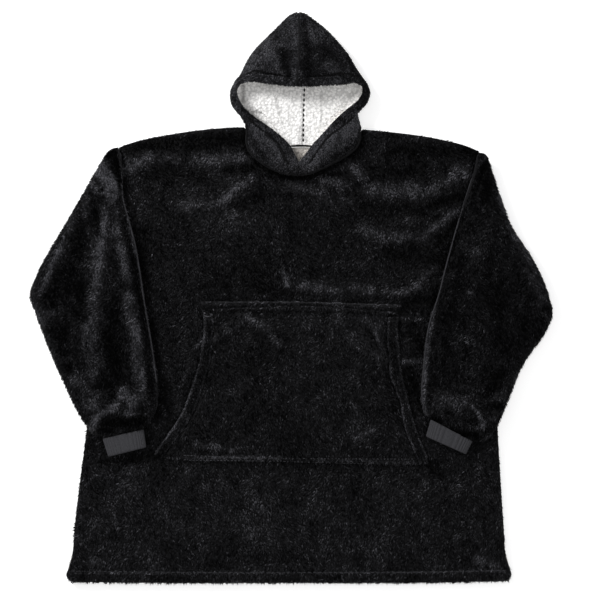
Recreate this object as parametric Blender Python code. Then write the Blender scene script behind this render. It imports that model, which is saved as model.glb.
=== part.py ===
"""A wearable blanket hoodie, laid flat on its back with the front up.

Tables and sizes are in millimetres, and the scene is in metres.
X runs across the garment, Y from the hem to the hood, and Z up from the floor.
"""

import bmesh
import bpy
import numpy as np

BODY_CLOTH = 7.0  # plush face bonded to a fleece inside
GAP = 0.3  # between flat faces that lie on each other
FRONT_BOTTOM = BODY_CLOTH + GAP
FRONT_TOP = FRONT_BOTTOM + BODY_CLOTH
ON_FRONT = FRONT_TOP + 0.8  # underside of what lies over the front
HEM_WIDTH = 22.0
HEM_RISE = 2.0
POCKET_BOTTOM = FRONT_TOP + 0.5
POCKET_CLOTH = 5.5
BINDING_TOP = POCKET_BOTTOM + 7.5
HOOD_CLOTH = 6.0
LINING_DEPTH = 6.8  # from the hood's outer face to the lining
LINING_CLOTH = 3.0
LINING_ROW = 5  # the hood's row at which the lining of its front starts
BRIM_WIDTH = 18.0
BRIM_GROOVE = 1.5
CUFF_WALL = 5.0
CUFF_SLIT = 3.0
CUFF_RIBS = 34
RIB_RISE = 0.7

# Outline tables. Columns: x, y. A row given twice is a corner.
HEM = [(-441, -569.5), (-300, -571.2), (0, -571.2), (300, -570.4), (434.8, -567.5)]
SIDE_LEFT = [
    (-441, -569.5), (-450.5, -558), (-443.2, -536.8), (-433, -450), (-422.4, -360.8),
    (-409.2, -258.8), (-402, -110), (-397.2, 35.2), (-368, 92), (-348, 150),
    (-340.5, 208), (-339, 248), (-345.8, 300.2),
]
SIDE_RIGHT = [
    (434.8, -567.5), (440, -557), (431.5, -526.8), (424.6, -444.8), (418.8, -360.8),
    (412.8, -250.4), (405, -110), (398.8, 17.2), (376, 84), (364, 150),
    (366, 215), (372, 262), (376, 293),
]
SHOULDER_LEFT = [(-345.8, 300.2), (-331.2, 306), (-239.2, 327.2), (-124, 340.4), (-94, 341.5)]
SHOULDER_RIGHT = [(139.6, 337), (182.2, 333.2), (296.8, 317.2), (355, 302), (376, 293)]
NECK_FRONT = [
    (-94, 341.5), (-89.8, 319.6), (-82.8, 299), (-66.8, 280.6), (-43.8, 264.6),
    (-16.2, 253.2), (8.8, 248.6), (32, 250.8), (57.2, 260), (84.8, 273.8),
    (112.4, 289.8), (130.8, 306), (139.8, 322), (139.6, 337),
]
NECK_BACK = [(-94, 341.5), (-60, 316), (-20, 303.5), (22, 300), (70, 303.5), (110, 315), (139.6, 337)]

# Soft folds. Columns: x and y of one end, x and y of the other, height, reach to each side.
FRONT_FOLDS = [
    (-185, 197, -85, 221, 6.0, 42),
    (-60, 150, 40, 190, 3.0, 45),
    (188, 112, 240, 136, 5.0, 32),
    (-17, 88, 14, 62, 4.0, 28),
    (75, 70, 150, 58, 3.5, 28),
    (-362, -455, -318, -402, 5.0, 42),
    (-150, -505, -70, -400, 3.5, 52),
    (150, -500, 235, -405, 3.5, 52),
    (352, -505, 405, -470, 4.0, 40),
]
POCKET_FOLDS = [
    (-150, -85, -99, -40, 3.2, 22),
    (-99, -34, -25, -98, 3.2, 26),
    (150, -35, 186, -117, 3.0, 20),
    (-120, -250, 60, -215, 3.2, 60),
    (60, -120, 120, -200, 2.6, 50),
]

# Pocket tables. Columns: x, y.
POCKET_LEFT = [
    (-157, -27.5), (-153, -52.2), (-155, -76.6), (-157.2, -107.2), (-162.4, -135.8),
    (-176.6, -180.8), (-192, -225.6), (-215.4, -264.8), (-231.8, -286.8), (-257, -319.5),
]
POCKET_RIGHT = [
    (191, -35), (190, -60), (190.2, -86.8), (193.4, -127.6), (196.4, -158.2),
    (206.6, -184.8), (216.8, -213.4), (220.8, -246), (230.8, -276.2), (256, -334),
]
POCKET_FOOT = [(-257, -319.5), (-205, -325.2), (-39, -327.4), (119, -331.5), (256, -334)]
POCKET_HEAD = [(-157, -27.5), (-60, -21), (16.8, -18.5), (100, -21), (191, -35)]
BINDING_LEFT = [
    (-176.6, -30), (-174.6, -52.2), (-175.6, -76.6), (-178.8, -95), (-184.8, -131.8),
    (-199.2, -178.6), (-215.4, -223.6), (-237.8, -260.4), (-262.4, -294.8), (-274.6, -314),
]
BINDING_RIGHT = [
    (215, -38), (212.8, -56.2), (213.5, -84), (215.8, -107.2), (217.8, -137.8),
    (227, -178.6), (243.4, -242), (255.6, -280.4), (267.8, -306.8), (275, -331),
]
# The pocket's turned top edge. Columns: left x, left y, middle y, right x, right y, rise.
POCKET_BAND = [
    (-181.8, -7.2, -8.8, 220.8, -13.8, 0.0),
    (-180.8, -12.0, -10.6, 220.5, -19.0, 2.0),
    (-178.0, -18.5, -13.2, 219.0, -25.0, 1.2),
    (-173.5, -22.8, -15.6, 215.5, -29.0, -0.6),
]

# Sleeve tables, from the shoulder down to the cuff. Columns: x, y.
SLEEVE_LEFT_OUTER = [
    (-373.2, 283.2), (-446.5, 155), (-512, 36), (-522, 5), (-510.4, -32.4),
    (-468.4, -138.8), (-411.2, -250.8), (-397.2, -270),
]
SLEEVE_LEFT_INNER = [
    (-345.8, 300.2), (-335.4, 245.2), (-336.6, 208.2), (-323.2, 153.2), (-311.2, 107.2),
    (-302.2, 57.2), (-292, -10), (-276.6, -98.8), (-265.4, -178.8), (-267.8, -214.8),
    (-288.6, -258),
]
SLEEVE_LEFT_START = [(-373.2, 283.2), (-366, 292.5), (-357, 298), (-345.8, 300.2)]
SLEEVE_LEFT_END = [(-397.2, -270), (-376, -276.5), (-335, -270), (-288.6, -258)]
SLEEVE_RIGHT_OUTER = [
    (392.8, 281.2), (415, 212), (438.8, 146), (488, 67.2), (515, 2), (522, -36.2),
    (510.8, -62.8), (464.8, -131.8), (434.8, -200.8), (415.6, -246.8), (390, -286),
]
SLEEVE_RIGHT_INNER = [
    (374, 290), (363.8, 240.4), (340.8, 176.2), (324.8, 123.2), (308.8, 66),
    (292.6, 3.8), (274, -54.8), (262.4, -138.8), (259.5, -200.8), (266.2, -230.8),
]
SLEEVE_RIGHT_START = [(392.8, 281.2), (387.5, 287), (374, 290)]
SLEEVE_RIGHT_END = [(390, -286), (362, -284), (322, -264.6), (266.2, -230.8)]
# Heights of a sleeve's top. Columns: share of its length, at the outer side, at the inner side.
SLEEVE_HEIGHTS = [
    (0.0, 20, 21), (0.12, 25, 25), (0.3, 28, 29), (0.5, 28, 32), (0.7, 24, 33),
    (0.85, 27, 34), (0.94, 33, 36), (1.0, 32, 33),
]
SLEEVE_LEFT_FOLDS = [
    (-420, 180, -350, -60, 3.5, 26),
    (-470, 60, -420, -120, 3.0, 28),
    (-330, 100, -300, -90, 2.5, 22),
    (-395, -215, -285, -205, 3.0, 24),
]
SLEEVE_RIGHT_FOLDS = [
    (400, 180, 360, -40, 3.5, 26),
    (470, 40, 430, -120, 3.0, 28),
    (325, 90, 300, -80, 2.5, 22),
    (300, -205, 400, -235, 3.0, 24),
]

# Cuff corners. Columns: x and y by the sleeve, x and y at the wrist.
CUFF_LEFT = [(-377, -281.2, -365.2, -317.8), (-294.6, -262.5, -289.2, -298.8)]
CUFF_RIGHT = [(278.3, -243, 268.6, -277.2), (362, -286.6, 348.8, -312.8)]
CUFF_MIDDLE = ON_FRONT + 7.3

# Hood tables. Columns: x, y.
MOUTH_LEFT = [
    (27, 249), (8, 285), (-2.4, 303.6), (-20.8, 322), (-43.8, 340.4), (-71.4, 358.8),
    (-94.4, 379.4), (-105.8, 400), (-108, 412), (-102, 424), (-78, 430.5),
    (-45, 426), (-10, 421.5), (9.75, 420.5),
]
MOUTH_RIGHT = [
    (-8, 247), (22, 278), (43.4, 306), (66.4, 331.2), (84.8, 351.8), (112.4, 377),
    (133, 393.2), (142.2, 414), (141.5, 421), (130, 427), (106.8, 425.2),
    (70, 423), (35, 420.5), (10.25, 420.5),
]
OUTLINE_LEFT = [
    (-91, 346), (-91.5, 353), (-108, 371.4), (-118.4, 386.2), (-121.8, 402.4),
    (-120.8, 413.8), (-113.8, 429.8), (-101.2, 446), (-89.8, 469), (-71.4, 496.4),
    (-48.4, 519.4), (-25.4, 542.4), (-2, 564), (12, 571.2),
]
OUTLINE_RIGHT = [
    (138.5, 343), (133.5, 362), (131.8, 370.2), (144.4, 381.6), (154.8, 397.8), (157, 411.6),
    (153.6, 423), (144.4, 436.8), (130.6, 457.4), (112.4, 487.2), (89.4, 514.6),
    (66.4, 537.8), (43.4, 556.2), (24, 569), (16.5, 571.2),
]
HOOD_NECK_LEFT = [
    (27, 249), (8.8, 245), (-17.5, 249.4), (-46, 261), (-69.8, 277.8), (-86, 297.5),
    (-89.6, 318), (-88, 333), (-91, 346),
]
HOOD_NECK_RIGHT = [
    (-8, 247), (9, 245), (33, 246.8), (59, 256.4), (86.8, 270.2), (114.8, 286.6),
    (132.5, 304), (137.5, 321), (136.8, 332), (138.5, 343),
]
CROWN_SEAM = [(10, 420.5), (15, 470), (16.5, 520), (14.5, 571.2)]
NAPE_LEFT = [(-91, 346), (-59.5, 317.4), (-20, 304.6), (22.4, 301.1)]
NAPE_RIGHT = [(138.5, 343), (109.3, 316.4), (70, 304.6), (22.9, 301.1)]
BACK_SEAM = [(22.65, 301.1), (24.5, 400), (21, 490), (15.5, 543)]
# Columns: share of the way from neck to brim, height at the mouth, height at the fold, reach of the fold.
HOOD_HEIGHTS = [
    (0.0, 21.5, 21.5, 10), (0.08, 24, 24.5, 13), (0.2, 28, 26, 14), (0.38, 32, 27, 15),
    (0.55, 36, 30, 20), (0.75, 40, 36, 24), (0.9, 42, 34, 22), (1.0, 42, 30, 18),
]
# Where the mouth turns its corner: share of a half's rows, of the mouth's edge, of the outline.
CORNER, MOUTH_CORNER, OUTLINE_CORNER = 0.42, 0.65, 0.24
RIGHT_OVER_LEFT = 7.6  # the right edge crosses over the left one at the foot of the mouth


def smooth_line(rows):
    """Many points on a smooth line through the rows, with a corner at any row given twice."""
    points = np.array(rows, float)
    steps = np.linalg.norm(np.diff(points, axis=0), axis=1)
    cuts = [0, *(np.flatnonzero(steps < 1e-9) + 1), len(points)]
    pieces = [points[a:b] for a, b in zip(cuts[:-1], cuts[1:]) if b - a > 1]
    line = []
    for piece in pieces:
        h = np.linalg.norm(np.diff(piece, axis=0), axis=1)[:, None]
        slope = np.diff(piece, axis=0) / h
        bend = [slope[:1], (slope[1:] * h[:-1] + slope[:-1] * h[1:]) / (h[1:] + h[:-1]), slope[-1:]]
        turn = np.concatenate(bend)
        t = np.linspace(0, 1, 12)[:, None]
        for i in range(len(piece) - 1):
            a, b = piece[i], piece[i + 1]
            line.append(
                a * (1 + 2 * t) * (1 - t) ** 2
                + b * t**2 * (3 - 2 * t)
                + h[i] * (turn[i] * t * (1 - t) ** 2 - turn[i + 1] * t**2 * (1 - t))
            )
    return np.concatenate(line)


def lengths(line):
    """How far along the line each of its points is."""
    return np.concatenate([[0], np.cumsum(np.linalg.norm(np.diff(line, axis=0), axis=1))])


def at_distance(line, distance):
    """The line's points at the given distances from its start."""
    far = lengths(line)
    return np.stack([np.interp(distance, far, line[:, k]) for k in range(line.shape[1])], axis=-1)


def at_share(line, share):
    """The line's points at the given shares of its length."""
    return at_distance(line, np.asarray(share) * lengths(line)[-1])


def patch(foot, head, left, right, u, v, left_v=None, right_v=None, fade=1):
    """Plan points of a four-sided piece: rows run from left to right, and v from foot to head.

    A row is straight but for what it takes from the curves of the foot and head, less with a larger fade.
    """
    low, high = at_share(smooth_line(foot), u), at_share(smooth_line(head), u)
    start = at_share(smooth_line(left), v if left_v is None else left_v)
    end = at_share(smooth_line(right), v if right_v is None else right_v)
    u, v = u[None, :, None], v[:, None, None]
    low_bend = low - ((1 - u) * low[0] + u * low[-1])
    high_bend = high - ((1 - u) * high[0] + u * high[-1])
    straight = (1 - u) * start[:, None] + u * end[:, None]
    return straight + (1 - v) ** fade * low_bend + v**fade * high_bend


def spacing(count, edge, share):
    """Shares from 0 to 1 with some close together at each end, for a rounded edge."""
    near = np.array(edge) * share
    middle = np.linspace(0, 1, count)[1:-1] * (1 - 2 * near[-1] - 0.02) + near[-1] + 0.01
    return np.concatenate([near, middle, 1 - near[::-1]])


def round_edge(distance, reach, least):
    """From least at an edge to 1 at the reach, on a quarter circle."""
    t = np.clip(distance / reach, 0, 1)
    return least + (1 - least) * np.sqrt(np.clip(1 - (1 - t) ** 2, 0, 1))


def edge_distance(plan):
    """Distance of each point of a grid from the grid's rim, across rows and columns."""
    across = np.linalg.norm(np.diff(plan, axis=1), axis=2)
    along = np.linalg.norm(np.diff(plan, axis=0), axis=2)
    left = np.pad(np.cumsum(across, axis=1), ((0, 0), (1, 0)))
    foot = np.pad(np.cumsum(along, axis=0), ((1, 0), (0, 0)))
    return left, left[:, -1:] - left, foot, foot[-1:] - foot


def folds(plan, table):
    """Height that soft folds add at each plan point."""
    total = np.zeros(plan.shape[:2])
    for x0, y0, x1, y1, height, reach in table:
        start, run = np.array([x0, y0]), np.array([x1 - x0, y1 - y0], float)
        share = np.clip((plan - start) @ run / (run @ run), 0, 1)
        away = np.linalg.norm(plan - start - share[..., None] * run, axis=2) / reach
        total += height * np.cos(np.clip(away, 0, 1) * np.pi / 2) ** 2
    return total


def with_height(plan, height):
    return np.concatenate([plan, np.broadcast_to(height, plan.shape[:2])[..., None]], axis=2)


def solid(name, top, bottom, colour, roughness):
    """A closed piece from two grids of points, joined round their rims."""
    rows, columns = top.shape[:2]
    mesh = bmesh.new()
    bmesh.ops.create_grid(mesh, x_segments=columns - 1, y_segments=rows - 1, size=1)
    added = bmesh.ops.extrude_face_region(mesh, geom=mesh.faces[:], use_keep_orig=True)
    upper = {item for item in added["geom"] if isinstance(item, bmesh.types.BMVert)}
    for vertex in mesh.verts:
        column = round((vertex.co.x + 1) / 2 * (columns - 1))
        row = round((vertex.co.y + 1) / 2 * (rows - 1))
        layer = top if vertex in upper else bottom
        vertex.co = layer[row, column] / 1000
    finish(name, mesh, colour, roughness)


def finish(name, mesh, colour, roughness):
    bmesh.ops.recalc_face_normals(mesh, faces=mesh.faces)
    if mesh.calc_volume(signed=True) < 0:
        bmesh.ops.reverse_faces(mesh, faces=mesh.faces)
    data = bpy.data.meshes.new(name)
    mesh.to_mesh(data)
    mesh.free()
    material = bpy.data.materials.new(name)
    material.use_nodes = True
    shader = material.node_tree.nodes["Principled BSDF"]
    shader.inputs["Base Color"].default_value = (*colour, 1)
    shader.inputs["Roughness"].default_value = roughness
    shader.inputs["Metallic"].default_value = 0
    data.materials.append(material)
    garment.objects.link(bpy.data.objects.new(name, data))


BLACK = (0.012, 0.012, 0.014)
CHARCOAL = (0.06, 0.06, 0.065)
CREAM = (0.8, 0.78, 0.74)


def body_panels():
    u = spacing(22, (0, 3, 9), 1 / 880)
    v = np.concatenate([np.array([0, 3, 9, 20, 24]) / 900, np.linspace(0.06, 0.97, 19), [0.988, 0.997, 1]])
    for name, neck in (("body_back", NECK_BACK), ("body_front", NECK_FRONT)):
        head = SHOULDER_LEFT + neck + SHOULDER_RIGHT
        plan = patch(HEM, head, SIDE_LEFT, SIDE_RIGHT, u, v)
        left, right, foot, top = edge_distance(plan)
        rim = round_edge(np.minimum(np.minimum(left, right), np.minimum(foot, top)), 13, 0.3)
        if name == "body_back":
            solid(name, with_height(plan, BODY_CLOTH), with_height(plan, BODY_CLOTH * (1 - rim)), BLACK, 0.9)
            continue
        hem = HEM_RISE * (np.clip(HEM_WIDTH - foot, 0, 3) / 3)
        lift = folds(plan, FRONT_FOLDS)
        high = FRONT_BOTTOM + BODY_CLOTH * rim + hem * rim + lift
        solid(name, with_height(plan, high), with_height(plan, FRONT_BOTTOM + lift), BLACK, 0.9)


def rests_on_body(plan, side):
    """Height under a sleeve: over the front, and down to the floor outside the body."""
    edge = smooth_line(SIDE_LEFT if side < 0 else SIDE_RIGHT)
    outside = side * (plan[..., 0] - np.interp(plan[..., 1], edge[:, 1], edge[:, 0]))
    t = np.clip((outside - 14) / 32, 0, 1)
    return ON_FRONT * (1 - t * t * (3 - 2 * t))


def sleeve(name, outer, inner, start, end, table, side):
    u = spacing(9, (0, 2, 8, 18), 1 / 180)
    v = spacing(16, (0, 2, 8, 18), 1 / 570)
    plan = patch(start, end, outer, inner, u, v)
    left, right, foot, head = edge_distance(plan)
    rim = round_edge(np.minimum(left, right), 18, 0.1) * round_edge(np.minimum(foot, head), 18, 0.16)
    shares, outside, inside = np.array(SLEEVE_HEIGHTS).T
    blend = (left / (left + right))[..., None]
    blend = (blend * blend * (3 - 2 * blend))[..., 0]
    outer_high, inner_high = np.interp(v, shares, outside)[:, None], np.interp(v, shares, inside)[:, None]
    high = outer_high * (1 - blend) + inner_high * blend + folds(plan, table) * rim
    low = rests_on_body(plan, side)
    middle = low + 0.45 * (high - low)
    top = middle + (high - middle) * rim
    bottom = middle - (middle - low) * rim
    solid(name, with_height(plan, top), with_height(plan, bottom), BLACK, 0.9)


def cuff(name, corners):
    """A ribbed tube pressed flat. Round it run the ribs, and its wall is one ring of points each."""
    near = np.array([row[:2] for row in corners])
    far = np.array([row[2:] for row in corners])
    around = CUFF_RIBS * 2
    # Columns: share of the length, share of the wall from the outside.
    section = [(0, 0.25), (0.06, 0), (0.5, 0), (0.94, 0), (1, 0.25), (1, 0.85), (0.94, 1), (0.06, 1), (0, 0.85)]
    mesh = bmesh.new()
    bpy.ops.mesh.primitive_torus_add(major_segments=around, minor_segments=len(section))
    ring = bpy.context.object
    mesh.from_mesh(ring.data)
    bpy.data.objects.remove(ring)
    mesh.verts.ensure_lookup_table()
    for i in range(around):
        turn = 2 * np.pi * i / around
        for j, (share, depth) in enumerate(section):
            ends = near + (far - near) * share
            centre = ends.mean(axis=0)
            half = (ends[1] - ends[0]) / 2
            width = np.linalg.norm(half)
            rib = RIB_RISE * (i % 2) * (depth < 0.2)
            wall = CUFF_WALL * depth - rib
            flat = np.sign(np.cos(turn)) * abs(np.cos(turn)) ** 0.6
            tall = np.sign(np.sin(turn)) * abs(np.sin(turn)) ** 0.6
            out = (width - 0.8 - wall) * flat
            up = (CUFF_SLIT / 2 + CUFF_WALL - wall) * tall
            x, y = centre + half / width * out
            mesh.verts[i * len(section) + j].co = np.array([x, y, CUFF_MIDDLE + up]) / 1000
    finish(name, mesh, CHARCOAL, 0.85)


def pocket():
    u = spacing(13, (0, 1.5, 5), 1 / 350)
    v = np.concatenate([[0, 0.02], np.linspace(0.08, 0.94, 10), [0.97, 0.99, 1]])
    plan = patch(POCKET_HEAD, POCKET_FOOT, POCKET_LEFT, POCKET_RIGHT, u, v)
    left, right, head, foot = edge_distance(plan)
    rim = round_edge(np.minimum(left, right), 7, 0.45) * round_edge(foot, 14, 0.25)
    puff = 3.0 * np.sin(np.pi * u)[None] * np.sin(np.pi * v)[:, None]
    inset = np.clip(foot / 30, 0, 1) * np.clip(head / 30, 0, 1)
    lift = np.clip(puff + folds(plan, POCKET_FOLDS) * inset, 0, None)
    top = POCKET_BOTTOM + POCKET_CLOTH * rim + lift
    bottom = POCKET_BOTTOM + np.minimum(lift, 3.2)
    band, band_top = [], []
    for left_x, left_y, middle_y, right_x, right_y, rise in POCKET_BAND:
        line = smooth_line([(left_x, left_y), ((left_x + right_x) / 2, middle_y), (right_x, right_y)])
        row = at_share(line, u)
        ends = round_edge(np.minimum(u, 1 - u) * 400, 9, 0.4)
        band.append(row)
        band_top.append(POCKET_BOTTOM + (POCKET_CLOTH + rise) * (ends if rise else 0.35 * ends))
    plan = np.concatenate([np.array(band), plan])
    top = np.concatenate([np.array(band_top), top])
    bottom = np.concatenate([np.full((len(band), len(u)), POCKET_BOTTOM), bottom])
    solid("pocket", with_height(plan, top), with_height(plan, bottom), BLACK, 0.9)


def binding(name, inner, outer, shift):
    v = np.linspace(0, 1, 20)
    inside = at_share(smooth_line(inner), 0.012 + v * 0.988) + np.array([shift, 0])
    outside = at_share(smooth_line(outer), v)
    u = np.array([0, 0.12, 0.35, 0.65, 0.88, 1])[None, :, None]
    plan = inside[:, None] * (1 - u) + outside[:, None] * u
    section = np.array([0.3, 0.72, 1, 1, 0.72, 0.3])
    ends = round_edge(np.minimum(v, 1 - v) * 300, 14, 0.4)[:, None]
    top = POCKET_BOTTOM + (BINDING_TOP - POCKET_BOTTOM) * section * ends
    solid(name, with_height(plan, top), with_height(plan, POCKET_BOTTOM), BLACK, 0.9)


def hood_face(mouth, outline, neck, nape, shift, across, t, depth):
    """One half of the hood, this deep inside its outer face.

    Rows run from the mouth over the fold to the back seam.
    """
    crown = [(x + shift, y) for x, y in CROWN_SEAM[:-1]] + [outline[-1]]
    back = [nape[-1]] + [(x + shift, y) for x, y in BACK_SEAM[1:]]
    fine = np.linspace(0, 1, 60)
    mouth_share = np.interp(t, [0, CORNER, 1], [0, MOUTH_CORNER, 1])
    fold_share = np.interp(t, [0, CORNER, 1], [0, OUTLINE_CORNER, 1])
    over = patch(neck, crown, mouth, outline, fine, t, mouth_share, fold_share, 6)
    under = patch(nape, [outline[-1], back[-1]], outline, back, fine, t, fold_share, t)
    shares, mouth_high, fold_high, reach = np.array(HOOD_HEIGHTS).T
    turn = np.radians([0, 30, 60, 90])
    rows = []
    for j, share in enumerate(t):
        width, below = lengths(over[j])[-1], lengths(under[j])[-1]
        bend = min(np.interp(share, shares, reach), 0.85 * width, 0.8 * below)
        rim, tall = np.interp(share, shares, mouth_high), np.interp(share, shares, fold_high)
        if shift > 0:
            rim += RIGHT_OVER_LEFT * np.clip(1.5 - share / 0.14, 0, 1)
        flat = width - bend
        squeeze = min(1, flat / 40)
        near = np.array(across) * squeeze
        on_top = np.concatenate([near, near[-1] + (flat - near[-1]) * np.linspace(0, 1, 5)[1:-1]])
        groove = BRIM_GROOVE * np.clip(1 - abs(on_top - BRIM_WIDTH * squeeze) / 3, 0, 1) * squeeze
        puff = 3 * np.sin(np.pi * on_top / width) * np.clip(width / 100, 0, 1)
        high = rim + (tall - rim) * (on_top / flat) ** 2 + puff - groove
        away = np.concatenate([on_top, flat + (bend - depth) * np.sin(turn)])
        high = np.concatenate([high - depth, tall / 2 + (tall / 2 - depth) * np.cos(turn)])
        top = with_height(at_distance(over[j], away)[None], high)[0]
        rest = bend + (below - bend) * np.array([0.3, 0.65, 0.97, 1])
        away = np.concatenate([depth + (bend - depth) * (1 - np.cos(turn[1:])), rest])
        low = np.concatenate([tall / 2 - (tall / 2 - depth) * np.sin(turn[1:]), np.full(len(rest), depth)])
        rows.append(np.concatenate([top, with_height(at_distance(under[j], away)[None], low)[0]]))
    return np.array(rows)


def shell(name, outer, inner, colour):
    """One layer of the hood, thinner at its rims."""
    left, right, foot, head = edge_distance(outer)
    near = np.minimum(np.minimum(left, right), np.minimum(foot, head))
    cloth = np.linalg.norm(inner - outer, axis=2)
    thin = ((1 - round_edge(near, cloth / 2, 0.4)) / 2)[..., None]
    solid(name, outer + (inner - outer) * thin, inner + (outer - inner) * thin, colour, 0.9)


def hood(side, *tables):
    t = np.concatenate([[0, 0.015], np.linspace(0.07, 0.94, 12), [0.985, 1]])
    layers = [hood_face(*tables, (0, 2, 8, 15, 18, 21), t, depth) for depth in (0, HOOD_CLOTH)]
    shell("hood_" + side, *layers, BLACK)
    layers = []
    for depth in (LINING_DEPTH, LINING_DEPTH + LINING_CLOTH):
        inside = hood_face(*tables, (7, 9, 18), np.concatenate([[0], t[LINING_ROW:]]), depth)
        columns = np.arange(inside.shape[1])
        share = np.clip((columns[-1] - 1 - columns) / 2, 0, 1)[:, None]
        first = inside[0] * (1 - share) + inside[1] * share
        layers.append(np.concatenate([first[None], inside[2:]]))
    shell("hood_lining_" + side, *layers, CREAM)


def start():
    for item in list(bpy.data.objects):
        bpy.data.objects.remove(item)
    collection = bpy.data.collections.new("wearable_blanket_hoodie")
    bpy.context.scene.collection.children.link(collection)
    return collection


def centre_on_floor():
    """Moves every piece so that the middle of the part's footprint is at the origin."""
    corners = np.array([vertex.co for item in garment.objects for vertex in item.data.vertices])
    middle = (corners.min(axis=0) + corners.max(axis=0)) / 2
    for item in garment.objects:
        item.location = (-middle[0], -middle[1], 0)


garment = start()
body_panels()
sleeve(
    "sleeve_left", SLEEVE_LEFT_OUTER, SLEEVE_LEFT_INNER, SLEEVE_LEFT_START, SLEEVE_LEFT_END, SLEEVE_LEFT_FOLDS, -1
)
sleeve(
    "sleeve_right", SLEEVE_RIGHT_OUTER, SLEEVE_RIGHT_INNER, SLEEVE_RIGHT_START, SLEEVE_RIGHT_END, SLEEVE_RIGHT_FOLDS, 1
)
cuff("cuff_left", CUFF_LEFT)
cuff("cuff_right", CUFF_RIGHT)
pocket()
binding("pocket_binding_left", POCKET_LEFT, BINDING_LEFT, -1.6)
binding("pocket_binding_right", POCKET_RIGHT, BINDING_RIGHT, 1.6)
hood("left", MOUTH_LEFT, OUTLINE_LEFT, HOOD_NECK_LEFT, NAPE_LEFT, -0.25)
hood("right", MOUTH_RIGHT, OUTLINE_RIGHT, HOOD_NECK_RIGHT, NAPE_RIGHT, 0.25)
centre_on_floor()
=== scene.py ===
"""The looks of a wearable blanket hoodie, laid flat: plush pile, fleece lining, ribbed cuffs and seams.

Tables and sizes are in millimetres, as in the part's source, and the scene is in metres.
X runs across the garment, Y from the hem to the hood, and Z up from the floor.
"""

import bmesh
import bpy
import numpy as np
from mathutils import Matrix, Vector
from mathutils.bvhtree import BVHTree


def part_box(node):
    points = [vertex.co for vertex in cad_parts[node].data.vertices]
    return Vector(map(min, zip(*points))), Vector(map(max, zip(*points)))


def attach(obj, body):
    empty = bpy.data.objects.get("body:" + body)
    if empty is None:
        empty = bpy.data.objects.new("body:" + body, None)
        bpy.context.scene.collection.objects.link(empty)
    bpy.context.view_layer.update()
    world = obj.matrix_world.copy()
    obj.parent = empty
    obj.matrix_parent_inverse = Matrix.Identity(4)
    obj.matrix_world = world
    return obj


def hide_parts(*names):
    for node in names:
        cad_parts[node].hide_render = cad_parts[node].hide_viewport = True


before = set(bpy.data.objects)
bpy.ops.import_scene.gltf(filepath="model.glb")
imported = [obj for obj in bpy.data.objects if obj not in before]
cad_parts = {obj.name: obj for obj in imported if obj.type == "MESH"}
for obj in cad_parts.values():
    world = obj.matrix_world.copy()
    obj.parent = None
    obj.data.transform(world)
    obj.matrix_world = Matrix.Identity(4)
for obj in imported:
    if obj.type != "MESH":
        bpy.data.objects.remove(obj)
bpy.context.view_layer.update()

BODY_CLOTH = 7.0  # plush face bonded to a fleece inside
GAP = 0.3  # between flat faces that lie on each other
FRONT_BOTTOM = BODY_CLOTH + GAP
FRONT_TOP = FRONT_BOTTOM + BODY_CLOTH
ON_FRONT = FRONT_TOP + 0.8  # underside of what lies over the front
HEM_WIDTH = 22.0
HEM_RISE = 2.0
POCKET_BOTTOM = FRONT_TOP + 0.5
POCKET_CLOTH = 5.5
BINDING_TOP = POCKET_BOTTOM + 7.5
HOOD_CLOTH = 6.0
LINING_DEPTH = 6.8  # from the hood's outer face to the lining
LINING_CLOTH = 3.0
LINING_ROW = 5  # the hood's row at which the lining of its front starts
BRIM_WIDTH = 18.0
BRIM_GROOVE = 1.5
CUFF_WALL = 5.0
CUFF_SLIT = 3.0
CUFF_RIBS = 34
RIB_RISE = 0.7

# Outline tables. Columns: x, y. A row given twice is a corner.
HEM = [(-441, -569.5), (-300, -571.2), (0, -571.2), (300, -570.4), (434.8, -567.5)]
SIDE_LEFT = [
    (-441, -569.5), (-450.5, -558), (-443.2, -536.8), (-433, -450), (-422.4, -360.8),
    (-409.2, -258.8), (-402, -110), (-397.2, 35.2), (-368, 92), (-348, 150),
    (-340.5, 208), (-339, 248), (-345.8, 300.2),
]
SIDE_RIGHT = [
    (434.8, -567.5), (440, -557), (431.5, -526.8), (424.6, -444.8), (418.8, -360.8),
    (412.8, -250.4), (405, -110), (398.8, 17.2), (376, 84), (364, 150),
    (366, 215), (372, 262), (376, 293),
]
SHOULDER_LEFT = [(-345.8, 300.2), (-331.2, 306), (-239.2, 327.2), (-124, 340.4), (-94, 341.5)]
SHOULDER_RIGHT = [(139.6, 337), (182.2, 333.2), (296.8, 317.2), (355, 302), (376, 293)]
NECK_FRONT = [
    (-94, 341.5), (-89.8, 319.6), (-82.8, 299), (-66.8, 280.6), (-43.8, 264.6),
    (-16.2, 253.2), (8.8, 248.6), (32, 250.8), (57.2, 260), (84.8, 273.8),
    (112.4, 289.8), (130.8, 306), (139.8, 322), (139.6, 337),
]
NECK_BACK = [(-94, 341.5), (-60, 316), (-20, 303.5), (22, 300), (70, 303.5), (110, 315), (139.6, 337)]

# Soft folds. Columns: x and y of one end, x and y of the other, height, reach to each side.
FRONT_FOLDS = [
    (-185, 197, -85, 221, 6.0, 42),
    (-60, 150, 40, 190, 3.0, 45),
    (188, 112, 240, 136, 5.0, 32),
    (-17, 88, 14, 62, 4.0, 28),
    (75, 70, 150, 58, 3.5, 28),
    (-362, -455, -318, -402, 5.0, 42),
    (-150, -505, -70, -400, 3.5, 52),
    (150, -500, 235, -405, 3.5, 52),
    (352, -505, 405, -470, 4.0, 40),
]
POCKET_FOLDS = [
    (-150, -85, -99, -40, 3.2, 22),
    (-99, -34, -25, -98, 3.2, 26),
    (150, -35, 186, -117, 3.0, 20),
    (-120, -250, 60, -215, 3.2, 60),
    (60, -120, 120, -200, 2.6, 50),
]

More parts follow.
